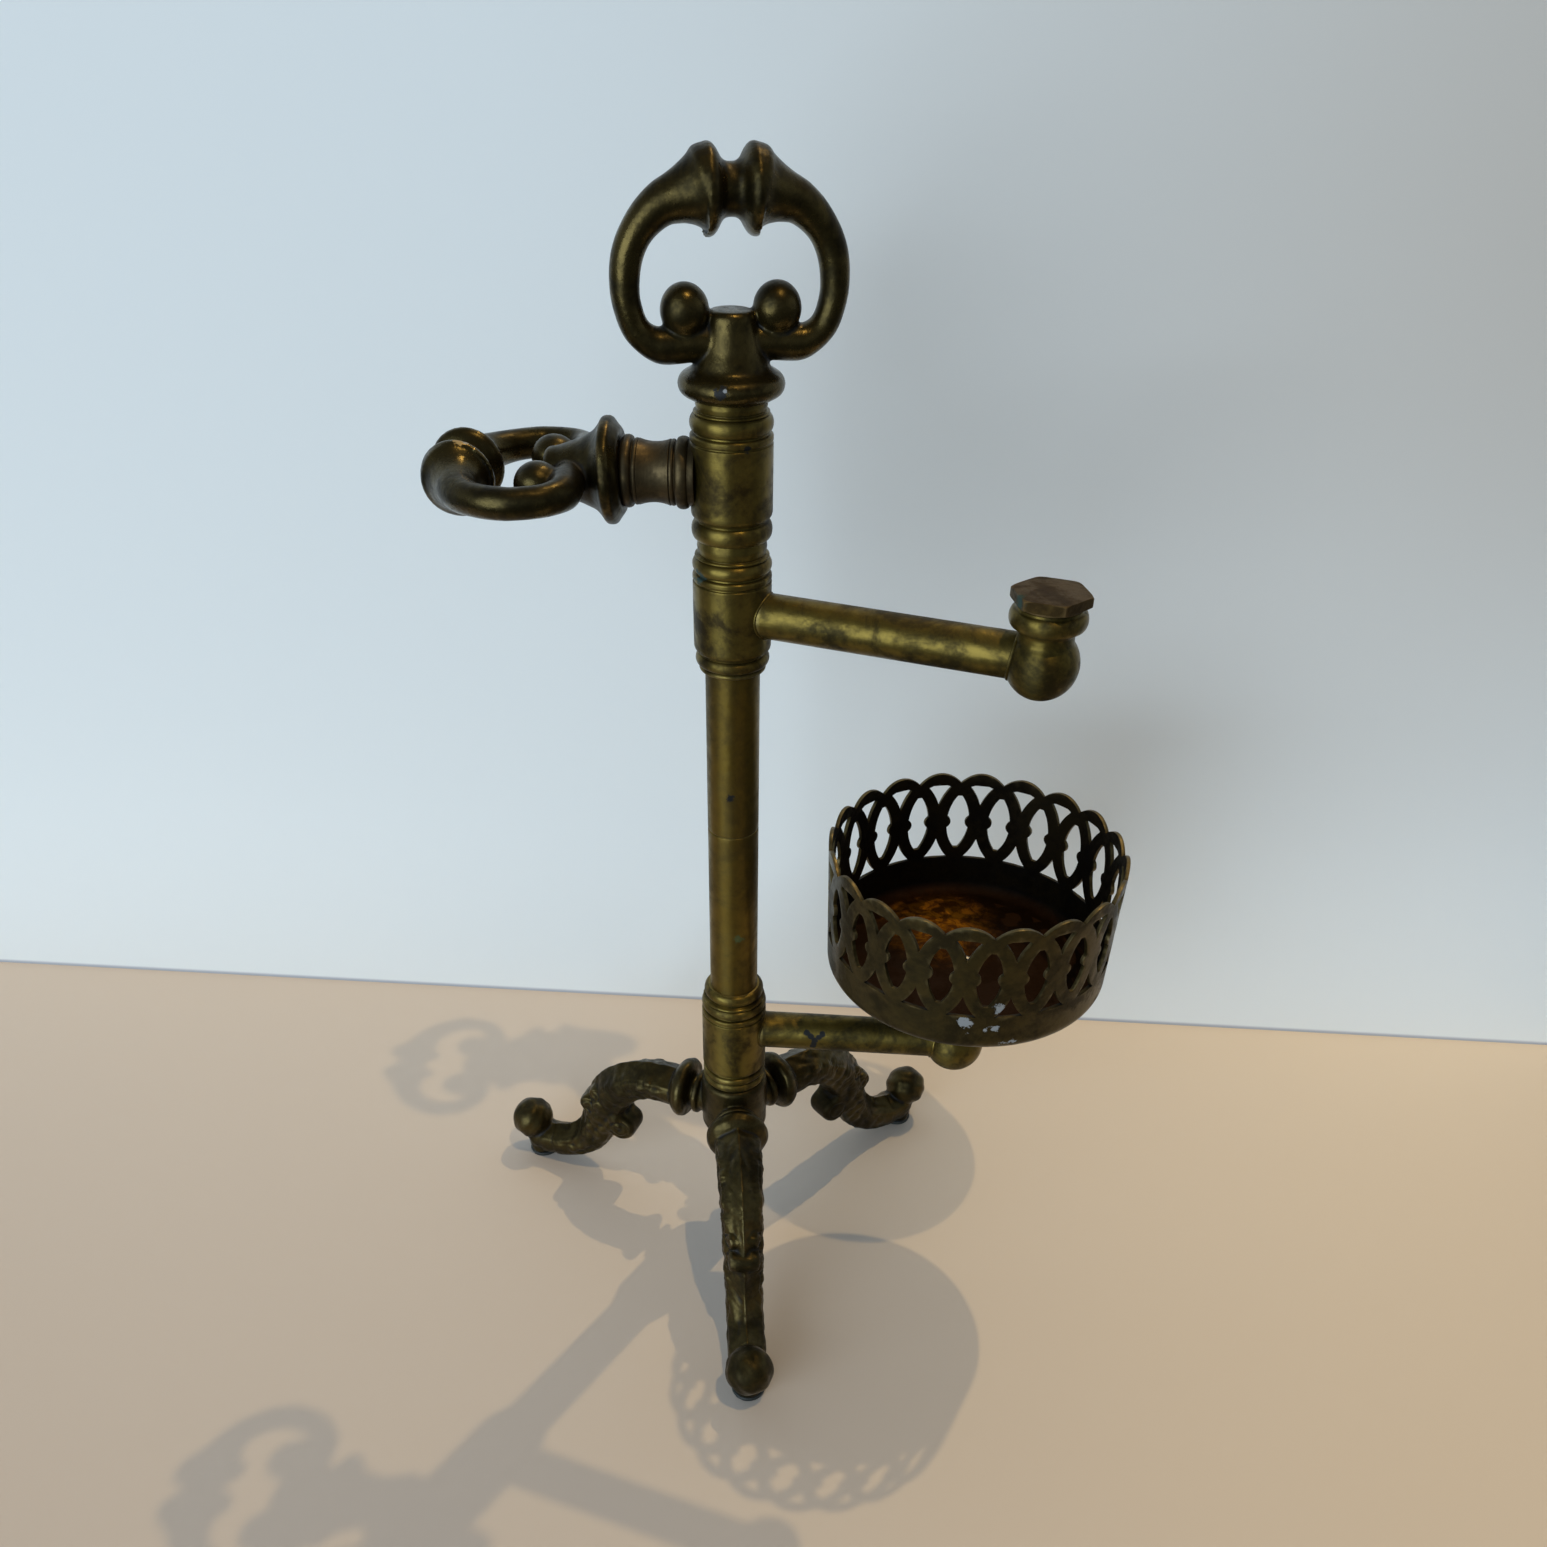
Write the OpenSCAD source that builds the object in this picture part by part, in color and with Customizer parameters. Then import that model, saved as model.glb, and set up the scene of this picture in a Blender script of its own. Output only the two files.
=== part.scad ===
// Shaving stand in old brass: a tripod column with three swivelling holders.
// The column axis is Z, the table is z = 0, +X runs to the right and +Y to the back.

/* [Column] */
// Outside diameter of the column tubes
column_d = 16; // [14:0.5:18]
// Wall of the column tubes
column_wall = 1.5; // [1:0.1:1.8]
// Height of the joint between the lower and the upper column tube
tube_joint_z = 172.5; // [152:0.5:192]
// Diameter of the tie rod that clamps the column
rod_d = 8; // [6:0.5:8]
// Radial clearance of a turning or a sliding fit
fit_gap = 0.05; // [0.02:0.01:0.08]
// Length of the coupling nipple inside the tube joint
nipple_l = 30; // [20:1:40]

/* [Hub and legs] */
// Diameter of the cast hub
hub_d = 23.5; // [22:0.5:26]
// Height of the hub's top face above the table
hub_top_z = 68.5; // [66:0.5:70]
// Height of the hub's underside above the table
hub_bottom_z = 44; // [42:0.5:45]
// Depth of the tube socket in the hub's top
hub_socket = 8; // [6:0.5:9]
// Height of the leg roots above the table
leg_root_z = 55.5; // [55:0.5:56]
// Direction of the front leg, in degrees from the front towards the right
front_leg_turn = 3; // [0:1:8]
// Direction of the left leg, in degrees from the front towards the right
left_leg_turn = -113; // [-120:1:-110]
// Direction of the right leg, in degrees from the front towards the right
right_leg_turn = 126; // [118:1:128]
// Distance from the column axis to the centre of a foot ball
foot_reach = 88.5; // [84:0.5:94]
// Diameter of a foot ball
foot_ball_d = 16.6; // [15:0.2:18]
// Height of a foot ball's centre above the table
foot_ball_z = 15.2; // [14:0.1:16]
// Width of a leg at its knee
leg_w = 15; // [13:0.5:16.5]
// Diameter of the flange at a leg's root
leg_flange_d = 22.6; // [20:0.2:23]
// Diameter of a leg's threaded stud
leg_stud_d = 5; // [4:0.5:5.5]
// Diameter of a foot pad
pad_d = 11.5; // [9:0.5:12.5]
// Thickness of a foot pad
pad_t = 1.6; // [1:0.1:2.2]

/* [Sleeves] */
// Outside diameter of the turned sleeves on the column
sleeve_d = 22.2; // [21:0.2:23.4]
// Depth of the grooves beside the beads of a sleeve
groove_depth = 1.3; // [0.6:0.1:1.6]
// Height of the lower sleeve
lower_sleeve_h = 42; // [40:0.5:46]
// Height of the upper sleeve's bottom edge above the table
upper_sleeve_z = 226; // [218:0.5:232]
// Height of the upper sleeve
upper_sleeve_h = 34.5; // [32:0.5:38]
// Depth of the column tube inside the upper sleeve
upper_sleeve_cap = 24; // [22:0.5:26]
// Height of the spacer ring between the upper sleeve and the brush collar
spacer_h = 4.2; // [3:0.1:6]
// Height of the brush collar
brush_collar_h = 33.5; // [32:0.5:36]
// Height of the ring under the top handle
neck_ring_h = 2.8; // [2:0.1:4]

/* [Arms] */
// Outside diameter of the two arm tubes
arm_d = 12.7; // [11.5:0.1:13]
// Wall of the arm tubes
arm_wall = 1.2; // [0.8:0.1:1.6]
// Distance from the column axis to the centre of the upper ball end
upper_arm_reach = 88.8; // [84:0.2:94]
// Direction of the upper arm, in degrees from the right towards the front
upper_arm_turn = 22; // [0:1:60]
// Height of the upper arm's axis above the upper sleeve's bottom edge
upper_arm_rise = 17.6; // [15:0.2:18]
// Distance from the column axis to the centre of the lower ball end
lower_arm_reach = 77.3; // [76:0.1:82]
// Direction of the lower arm, in degrees from the right towards the front
lower_arm_turn = 5.5; // [0:0.5:60]
// Height of the lower arm's axis above the hub's top face
lower_arm_rise = 21.8; // [18:0.2:22]
// Diameter of the ball at an arm's end
ball_d = 20; // [19:0.2:22]
// Height from a ball's centre to the top face of its socket
socket_rise = 16; // [15.4:0.2:18]
// Diameter of the bead round a socket
socket_bead_d = 20.8; // [20:0.2:22]
// Height of an arm's axis above the centre of the ball at its end
arm_above_ball = 0.9; // [0:0.1:1.2]
// Bore of the socket in a ball end
socket_bore = 9.5; // [8:0.1:10]
// Depth of the socket bore
socket_depth = 9; // [8:0.1:9.4]
// Width across the flats of the six-sided plug
plug_af = 19; // [17:0.5:20.5]
// Thickness of the plug's six-sided head
plug_h = 3.8; // [3.4:0.1:6]

/* [Basket] */
// Outside diameter of the mug basket
basket_d = 94; // [88:0.5:96]
// Height of the basket's rim above its floor
basket_h = 47; // [43:0.5:50]
// Sheet thickness of the basket
basket_t = 1.2; // [1:0.1:1.6]
// How much smaller the basket's radius is at its floor than at its rim
basket_taper = 1.2; // [0:0.1:2]
// Rounding between the basket's floor and its wall
basket_round = 5; // [3:0.5:8]
// Height from the lower ball's centre to the underside of the basket
basket_rise = 33.6; // [31:0.2:38]
// Number of interlaced rings round the basket
ring_count = 20; // [18:1:22]
// Height of one interlaced ring, over its outside
ring_h = 37; // [35:0.5:39]
// Width of the strap of an interlaced ring
strap_w = 3.9; // [3.4:0.1:4.4]
// Turn of the first ring about the basket's axis, in degrees
ring_phase = 12.6; // [0:0.2:18]
// Radius of the round nubs that pinch the openings
nub_r = 2.1; // [1.4:0.1:2.4]
// Height of the solid band above the basket's outer floor edge
band_h = 14.3; // [12:0.1:15]

/* [Cast loops] */
// Diameter of the base ring of a loop
loop_base_d = 27.6; // [25:0.2:29]
// Thickness of the base ring of a loop
loop_base_h = 7; // [6:0.2:8]
// Height from the brush loop's base ring to the axis of its flanges
brush_loop_h = 40.2; // [38:0.1:46]
// Half of a loop's width, to the centreline of its rod
loop_half_w = 26.3; // [23:0.2:28]
// Height from the top handle's base ring to the axis of its flanges
loop_h = 43.3; // [40:0.1:47]
// Diameter of a loop's rod at its sides
loop_rod_d = 7.3; // [6.5:0.1:8.6]
// Diameter of the twin flanges
flange_d = 20.2; // [18.4:0.2:23]
// Diameter of the two ball knobs inside a loop
knob_d = 12; // [10.5:0.1:13]
// Turn of the top handle about the column, in degrees
handle_turn = 10; // [0:1:90]
// Direction of the brush loop, in degrees from the left towards the back
brush_turn = 5; // [0:1:60]
// Length of the spigot between the brush collar and the brush loop
spigot_l = 18; // [16:0.5:24]
// Diameter of the spigot's rings
spigot_d = 18.6; // [17:0.2:19]
// Diameter of the spigot's hidden stud
spigot_stud_d = 5; // [4:0.5:6]

/* [Hidden] */
$fn = 72;

bronze = [0.21, 0.20, 0.15];
old_brass = [0.42, 0.36, 0.20];
dark_brass = [0.33, 0.27, 0.15];
worn_steel = [0.45, 0.44, 0.42];
black_rubber = [0.05, 0.05, 0.05];

// Radii that the fits share
column_r = column_d / 2;
rod_r = rod_d / 2;
sleeve_r = sleeve_d / 2;
groove_r = sleeve_r - groove_depth;
tube_bore_r = column_r - column_wall;

// Heights of the stack that the tie rod clamps
tube_foot_z = hub_top_z - hub_socket;
tube_top_z = upper_sleeve_z + upper_sleeve_cap;
spacer_z = upper_sleeve_z + upper_sleeve_h;
brush_collar_z = spacer_z + spacer_h;
neck_ring_z = brush_collar_z + brush_collar_h;
handle_z = neck_ring_z + neck_ring_h;
brush_axis_z = brush_collar_z + brush_collar_h / 2;
washer_t = 1.6;
nut_h = 6.5;
nut_af = 13;
rod_foot_z = hub_bottom_z - washer_t - nut_h - 1.5;
rod_thread = 9;
rod_top_z = handle_z + rod_thread;

// Places of the arms and the basket
upper_arm_z = upper_sleeve_z + upper_arm_rise;
lower_arm_z = hub_top_z + lower_arm_rise;
arm_seat = 4.2;

// Points of half an ellipse that bulges from radius r_in to r_out between z0 and z1
function bead(z0, z1, r_in, r_out, n = 8) =
    [for (i = [0 : n]) let (a = 180 * i / n)
        [r_in + (r_out - r_in) * sin(a), (z0 + z1) / 2 - (z1 - z0) / 2 * cos(a)]];

// Points of an arc about a centre, from one angle to another
function arc(c, r, a0, a1, n = 8) =
    [for (i = [0 : n]) let (a = a0 + (a1 - a0) * i / n) c + r * [cos(a), sin(a)]];

// One Catmull-Rom span between p1 and p2, and a whole smooth path through a list of points
function span(p0, p1, p2, p3, t) =
    0.5 * (2 * p1 + (p2 - p0) * t + (2 * p0 - 5 * p1 + 4 * p2 - p3) * t * t
           + (3 * p1 - p0 - 3 * p2 + p3) * t * t * t);
function smooth(p, n) = let (last = len(p) - 1)
    concat([for (i = [0 : last - 1], k = [0 : n - 1])
        span(p[max(i - 1, 0)], p[i], p[i + 1], p[min(i + 2, last)], k / n)], [p[last]]);

// Direction of a path in its XZ plane at point i
function heading(p, i) = let (d = p[min(i + 1, len(p) - 1)] - p[max(i - 1, 0)])
    [d[0], d[1]] / norm([d[0], d[1]]);

// A casting swept along path points [x, z, half thickness, half width], with its section's
// points given as shares of those two halves, anticlockwise
module sweep(path, section) {
    n = len(section);
    rings = [for (i = [0 : len(path) - 1]) let (h = heading(path, i)) [for (s = section)
        [path[i][0] - h[1] * path[i][2] * s[1], -path[i][3] * s[0],
         path[i][1] + h[0] * path[i][2] * s[1]]]];
    last = len(path) - 1;
    points = [for (r = rings) for (p = r) p];
    sides = [for (i = [0 : last - 1], k = [0 : n - 1]) let (a = i * n + k, b = i * n + (k + 1) % n)
        for (f = [[a, b, b + n], [a, b + n, a + n]]) f];
    start = [for (k = [1 : n - 2]) [0, k + 1, k]];
    end = [for (k = [1 : n - 2]) [last * n, last * n + k, last * n + k + 1]];
    polyhedron(points, concat(sides, start, end));
}

module revolve(profile) {
    rotate_extrude() polygon(profile);
}

// Lies along +X with its base at the origin
module along_x() {
    rotate([0, 90, 0]) children();
}

// Places a leg's own frame, where +X is outwards, in the direction of one leg
module leg_frame(turn) {
    rotate([0, 0, turn - 90]) children();
}

module each_leg() {
    for (turn = [front_leg_turn, left_leg_turn, right_leg_turn]) leg_frame(turn) children();
}

leg_boss_l = 2.6;
leg_boss_r = 8.2;
leg_face_x = hub_d / 2 + leg_boss_l;
leg_flange_x = leg_face_x + 3.4;
leg_flange_t = 3.6;
leg_stud_in = 5;
leg_stud_out = 11;
pad_x = foot_reach - 4;

module hub() {
    color(bronze) difference() {
        union() {
            revolve(concat([[0, hub_bottom_z]],
                arc([hub_d / 2 - 4, hub_bottom_z + 4], 4, -90, 0),
                [[hub_d / 2, hub_top_z - 1.2], [hub_d / 2 - 1.2, hub_top_z], [0, hub_top_z]]));
            each_leg() translate([0, 0, leg_root_z]) along_x()
                cylinder(r = leg_boss_r, h = leg_face_x);
        }
        translate([0, 0, tube_foot_z]) cylinder(r = column_r + fit_gap, h = hub_socket + 1);
        translate([0, 0, hub_bottom_z - 1]) cylinder(r = rod_r + fit_gap, h = hub_top_z);
        each_leg() translate([leg_face_x - leg_stud_in - leg_boss_l, 0, leg_root_z]) along_x()
            cylinder(d = leg_stud_d, h = hub_d);
    }
}

// Scroll of a leg: [outwards, up, half thickness, half width]
leg_spine = [
    [leg_flange_x + leg_flange_t - 1, leg_root_z, 6.8, leg_w / 2 + 0.6],
    [30, leg_root_z + 0.2, 6.4, leg_w / 2 + 0.8],
    [39, leg_root_z - 2.4, 7.0, leg_w / 2 + 0.4],
    [47.5, leg_root_z - 9.3, 8.0, leg_w / 2],
    [54, leg_root_z - 19.3, 7.6, leg_w / 2 - 0.4],
    [57, 27, 7.0, leg_w / 2 - 0.6],
    [60.5, 18.4, 6.4, leg_w / 2 - 0.8],
    [67.5, 11.8, 5.8, leg_w / 2 - 0.8],
    [76, 8.9, 5.4, leg_w / 2 - 0.7],
    [foot_reach - 5, 8.7, 5.2, leg_w / 2 - 0.7],
    [foot_reach - 1, foot_ball_z - 4, 4.4, leg_w / 2 - 1.6]];
// Ridged section of a leg
leg_section = [[0, 1], [-0.5, 0.78], [-0.92, 0.42], [-1, -0.2], [-0.85, -0.8], [-0.4, -1],
               [0.4, -1], [0.85, -0.8], [1, -0.2], [0.92, 0.42], [0.5, 0.78]];

// A rolled scroll end, its axle along Y
module scroll_end(x, z, r, w) {
    translate([x, 0, z]) rotate([90, 0, 0]) revolve(concat([[0, -w / 2]],
        arc([r - 2, -w / 2 + 2], 2, -90, 0, 4), arc([r - 2, w / 2 - 2], 2, 0, 90, 4),
        [[0, w / 2]]));
}

module leg() {
    color(bronze) difference() {
        union() {
            translate([leg_face_x, 0, leg_root_z]) along_x() revolve([
                [0, 0], [5.6, 0], [5.2, 1.8], [6.6, 3.4], [leg_flange_d / 2 - 0.6, 3.4],
                [leg_flange_d / 2, 4.4], [leg_flange_d / 2 - 0.4, 6.0], [7.4, 7.6], [0, 7.6]]);
            sweep(smooth(leg_spine, 4), leg_section);
            scroll_end(46.2, leg_root_z - 27, 5.8, leg_w - 2.6);
            scroll_end(60.2, leg_root_z - 20, 4.4, leg_w - 2);
            translate([foot_reach, 0, foot_ball_z]) sphere(d = foot_ball_d);
            translate([pad_x, 0, pad_t]) cylinder(d1 = pad_d, d2 = pad_d - 1, h = 4);
        }
        translate([leg_face_x - 1, 0, leg_root_z]) along_x()
            cylinder(d = leg_stud_d, h = leg_stud_out + 1);
    }
}

module leg_front() leg_frame(front_leg_turn) leg();
module leg_left() leg_frame(left_leg_turn) leg();
module leg_right() leg_frame(right_leg_turn) leg();

module leg_studs() {
    color(worn_steel) each_leg()
        translate([leg_face_x - leg_stud_in - leg_boss_l, 0, leg_root_z]) along_x()
            cylinder(d = leg_stud_d, h = leg_stud_in + leg_boss_l + leg_stud_out);
}

module foot_pads() {
    color(black_rubber) each_leg() translate([pad_x, 0, 0]) cylinder(d = pad_d, h = pad_t);
}

module pipe(r_out, r_in, z0, z1) {
    translate([0, 0, z0]) difference() {
        cylinder(r = r_out, h = z1 - z0);
        translate([0, 0, -1]) cylinder(r = r_in, h = z1 - z0 + 2);
    }
}

module lower_column_tube() {
    color(dark_brass) pipe(column_r, tube_bore_r, tube_foot_z, tube_joint_z);
}

module upper_column_tube() {
    color(dark_brass) pipe(column_r, tube_bore_r, tube_joint_z, tube_top_z);
}

module column_nipple() {
    color(old_brass) pipe(tube_bore_r - fit_gap, rod_r + 0.5,
                          tube_joint_z - nipple_l / 2, tube_joint_z + nipple_l / 2);
}

module tie_rod() {
    color(worn_steel) translate([0, 0, rod_foot_z]) cylinder(r = rod_r, h = rod_top_z - rod_foot_z);
}

module base_washer() {
    color(old_brass) pipe(8.5, rod_r + fit_gap, hub_bottom_z - washer_t, hub_bottom_z);
}

module base_nut() {
    color(worn_steel) translate([0, 0, hub_bottom_z - washer_t - nut_h]) difference() {
        cylinder(d = nut_af / cos(30), h = nut_h, $fn = 6);
        translate([0, 0, -1]) cylinder(r = rod_r + fit_gap, h = nut_h + 2);
    }
}

// Turned outside of a sleeve: a bead, a groove, the plain body, a lip, a groove and a bead
function sleeve_outline(h, foot_h, head_h) = concat([[0, 0], [groove_r - 0.2, 0]],
    bead(0.05, foot_h, groove_r - 0.2, sleeve_r),
    [[groove_r, foot_h + 0.1], [groove_r, foot_h + 0.9], [sleeve_r - 0.3, foot_h + 1],
     [sleeve_r, foot_h + 1.5], [sleeve_r, h - head_h - 4.4], [sleeve_r - 0.4, h - head_h - 4.2],
     [sleeve_r - 0.4, h - head_h - 3.8], [sleeve_r, h - head_h - 3.6],
     [sleeve_r, h - head_h - 1.6], [sleeve_r - 0.3, h - head_h - 1.2],
     [groove_r, h - head_h - 1.1], [groove_r, h - head_h - 0.1]],
    bead(h - head_h, h - 0.05, groove_r - 0.2, sleeve_r), [[groove_r - 0.2, h], [0, h]]);

module lower_sleeve() {
    color(old_brass) translate([0, 0, hub_top_z]) difference() {
        revolve(sleeve_outline(lower_sleeve_h, 6, 9));
        translate([0, 0, -1]) cylinder(r = column_r + fit_gap, h = lower_sleeve_h + 2);
    }
}

module upper_sleeve() {
    color(old_brass) translate([0, 0, upper_sleeve_z]) difference() {
        revolve(sleeve_outline(upper_sleeve_h, 5.2, 4.7));
        translate([0, 0, -1]) cylinder(r = column_r + fit_gap, h = upper_sleeve_cap + 1);
        translate([0, 0, -1]) cylinder(r = rod_r + fit_gap, h = upper_sleeve_h + 2);
    }
}

module brush_collar() {
    color(old_brass) translate([0, 0, brush_collar_z]) difference() {
        revolve(sleeve_outline(brush_collar_h, 4.5, 4.5));
        translate([0, 0, -1]) cylinder(r = rod_r + fit_gap, h = brush_collar_h + 2);
        rotate([0, 0, 180 - brush_turn]) translate([rod_r + 1.4, 0, brush_axis_z - brush_collar_z])
            along_x() cylinder(d = spigot_stud_d, h = sleeve_d);
    }
}

module spacer_ring() {
    color(dark_brass) translate([0, 0, spacer_z]) difference() {
        revolve([[0, 0], [9.4, 0], [9.7, spacer_h / 2], [9.4, spacer_h], [0, spacer_h]]);
        translate([0, 0, -1]) cylinder(r = rod_r + fit_gap, h = spacer_h + 2);
    }
}

module neck_ring() {
    color(dark_brass) translate([0, 0, neck_ring_z]) difference() {
        revolve([[0, 0], [9.2, 0], [9.5, neck_ring_h / 2], [9.2, neck_ring_h], [0, neck_ring_h]]);
        translate([0, 0, -1]) cylinder(r = rod_r + fit_gap, h = neck_ring_h + 2);
    }
}

// Arm tube from a saddle on its sleeve to the socket in its ball end, along +X
module arm_tube(reach) {
    difference() {
        along_x() cylinder(d = arm_d, h = reach - arm_seat);
        along_x() cylinder(d = arm_d - 2 * arm_wall, h = reach);
        cylinder(r = sleeve_r, h = 2 * arm_d, center = true);
    }
}

// Ball with a neck, a bead and a bore that stands upright, centred at the origin
module ball_end() {
    neck_r = 7.5;
    ball_r = ball_d / 2;
    neck_low = sqrt(ball_r * ball_r - neck_r * neck_r) + 1;
    difference() {
        union() {
            sphere(d = ball_d);
            revolve(concat([[0, 0], [neck_r + 0.6, neck_low - 1.4], [neck_r, neck_low],
                            [neck_r, neck_low + 1.6], [neck_r + 1, neck_low + 2.6]],
                bead(neck_low + 2.8, socket_rise - 0.8, neck_r + 1.6, socket_bead_d / 2),
                [[neck_r + 1.4, socket_rise - 0.6], [neck_r + 1.2, socket_rise],
                 [0, socket_rise]]));
        }
        translate([0, 0, socket_rise - socket_depth]) cylinder(d = socket_bore, h = socket_depth + 1);
        translate([0, 0, arm_above_ball]) rotate([0, -90, 0]) translate([0, 0, arm_seat])
            cylinder(r = arm_d / 2 + fit_gap, h = ball_d);
    }
}

module lower_arm_frame() {
    translate([0, 0, lower_arm_z]) rotate([0, 0, -lower_arm_turn]) children();
}

module upper_arm_frame() {
    translate([0, 0, upper_arm_z]) rotate([0, 0, -upper_arm_turn]) children();
}

module upper_ball_frame() {
    upper_arm_frame() translate([upper_arm_reach, 0, -arm_above_ball]) children();
}

// The basket and its stem stand on the lower ball end
module basket_frame() {
    lower_arm_frame() translate([lower_arm_reach, 0, -arm_above_ball]) children();
}

module lower_arm_tube() {
    color(old_brass) lower_arm_frame() arm_tube(lower_arm_reach);
}

module lower_ball_end() {
    color(old_brass) basket_frame() ball_end();
}

module upper_arm_tube() {
    color(old_brass) upper_arm_frame() arm_tube(upper_arm_reach);
}

module upper_ball_end() {
    color(old_brass) upper_ball_frame() ball_end();
}

module socket_plug() {
    shank_l = socket_depth - 1;
    color(dark_brass) upper_ball_frame() translate([0, 0, socket_rise]) union() {
        translate([0, 0, -shank_l]) cylinder(d = socket_bore - 2 * fit_gap, h = shank_l + 1);
        cylinder(r = 8.6, h = 1);
        intersection() {
            translate([0, 0, 0.8]) cylinder(d = plug_af / cos(30), h = plug_h - 0.8, $fn = 6);
            revolve([[0, 0], [plug_af / 2 + 0.4, 0.8], [plug_af / 2 + 1.6, 1.6],
                     [plug_af / 2 + 1.6, plug_h - 1.4], [plug_af / 2 - 0.4, plug_h], [0, plug_h]]);
        }
    }
}

basket_screw_d = 5;
basket_screw_l = 12;

module basket_stem() {
    stem_h = basket_rise - socket_rise;
    shank_l = socket_depth - 1;
    color(old_brass) basket_frame() translate([0, 0, socket_rise]) difference() {
        union() {
            translate([0, 0, -shank_l])
                cylinder(d = socket_bore - 2 * fit_gap, h = shank_l + 1);
            revolve(concat([[0, 0], [8.2, 0], [8.6, 0.8], [8.2, 2.2], [5.6, 2.8]],
                arc([8.6, stem_h / 2 + 0.3], 3.4, 230, 130), [[6.6, stem_h - 4.4]],
                [[13, stem_h - 2], [13.4, stem_h - 1.2], [13.4, stem_h], [0, stem_h]]));
        }
        translate([0, 0, stem_h - basket_screw_l]) cylinder(d = basket_screw_d, h = basket_screw_l + 1);
    }
}

ring_pitch = 360 / ring_count;
basket_r = basket_d / 2;
ring_step = basket_r * sin(ring_pitch);
ring_outer_b = ring_h / 2;
ring_inner_b = ring_outer_b - strap_w;
ring_inner_a = 0.77 * ring_step;
ring_outer_a = ring_inner_a + 1.1 * strap_w;
rim_a = 0.8 * ring_outer_a;
ring_mid_z = basket_h - ring_outer_b;

// Half width of an ellipse at height v from its middle
function ellipse_u(a, b, v) = a * sqrt(max(0, 1 - v * v / (b * b)));
// Height of an ellipse's edge at u from its middle
function ellipse_v(a, b, u) = b * sqrt(max(0, 1 - u * u / (a * a)));

// Opening that two neighbouring rings share, pinched by a nub from each side
eye_half = ellipse_v(ring_inner_a, ring_inner_b, ring_step / 2) - 0.9;
nub_sunk = 0.7;
function eye_u(v) = let (nub = abs(v) < nub_r ? max(0, sqrt(nub_r * nub_r - v * v) - nub_sunk) : 0)
    max(0.6, ellipse_u(ring_inner_a, ring_inner_b, v) - ring_step / 2 - nub);
eye_v = concat([for (k = [0 : 4]) -eye_half * cos(17 * k)], [for (k = [-2 : 2]) 0.45 * nub_r * k],
               [for (k = [4 : -1 : 0]) eye_half * cos(17 * k)]);
eye_outline = concat([for (v = eye_v) [eye_u(v), v]],
    [for (k = [len(eye_v) - 1 : -1 : 0]) [-eye_u(eye_v[k]), eye_v[k]]]);

// Curved triangle inside one ring, between the outer edges of its two neighbours
horn_low = ellipse_v(ring_outer_a, ring_outer_b, ring_step) + 0.6;
horn_steps = 4;
function horn_side(v) = min(ring_step - ellipse_u(ring_outer_a, ring_outer_b, v),
                            ellipse_u(ring_inner_a, ring_inner_b, v));
horn_v = [for (k = [0 : horn_steps]) horn_low + (ring_inner_b - 0.5 - horn_low) * k / horn_steps];
horn_outline = concat([for (v = horn_v) [max(0.25, horn_side(v)), v]],
    [for (k = [horn_steps : -1 : 0]) [-max(0.25, horn_side(horn_v[k])), horn_v[k]]]);

// Valley of the scalloped rim between two ring tops, whose crests stay flat for a short way
crest_half = 2;
valley_outline = concat([for (k = [-3 : 3]) let (u = (ring_step / 2 - crest_half) * k / 3)
    [u, ellipse_v(rim_a, ring_outer_b, ring_step / 2 - abs(u))]],
    [[ring_step / 2 - crest_half, ring_outer_b + 2], [crest_half - ring_step / 2, ring_outer_b + 2]]);

module wall_cut(turn, outline) {
    rotate([0, 0, turn]) translate([basket_r - basket_taper - basket_t - 2, 0, ring_mid_z])
        rotate([90, 0, 90]) linear_extrude(basket_t + basket_taper + 4) polygon(outline);
}

// Lower horns stop at the solid band
band_v = band_h - ring_mid_z;
low_v = [for (k = [0 : horn_steps]) -horn_low + (band_v + horn_low) * k / horn_steps];
function low_side(v) = max(0.25, ring_step - ellipse_u(ring_outer_a, ring_outer_b, v));
low_outline = concat([for (v = low_v) [low_side(v), v]],
    [for (k = [horn_steps : -1 : 0]) [-low_side(low_v[k]), low_v[k]]]);

module basket_cup() {
    r = basket_round;
    t = basket_t;
    foot_r = basket_r - basket_taper;
    color(old_brass) basket_frame() translate([0, 0, basket_rise]) difference() {
        revolve(concat([[0, 0]], arc([foot_r - r, r], r, -90, 0), [[basket_r, basket_h]],
            [[basket_r - t, basket_h]], arc([foot_r - r, r], r - t, 0, -90), [[0, t]]));
        basket_screw_head(fit_gap, 0.2);
        for (k = [0 : ring_count - 1]) {
            wall_cut(ring_phase + k * ring_pitch, horn_outline);
            wall_cut(ring_phase + k * ring_pitch, low_outline);
            wall_cut(ring_phase + (k + 0.5) * ring_pitch, eye_outline);
            wall_cut(ring_phase + (k + 0.5) * ring_pitch, valley_outline);
        }
    }
}

// Countersunk head of the basket's screw, as deep as the floor is thick, or the seat cut for it
module basket_screw_head(grow, over) {
    slope = basket_screw_d / 2 + grow;
    translate([0, 0, -over])
        cylinder(r1 = slope - over, r2 = slope + basket_t + over, h = basket_t + 2 * over);
}

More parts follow.
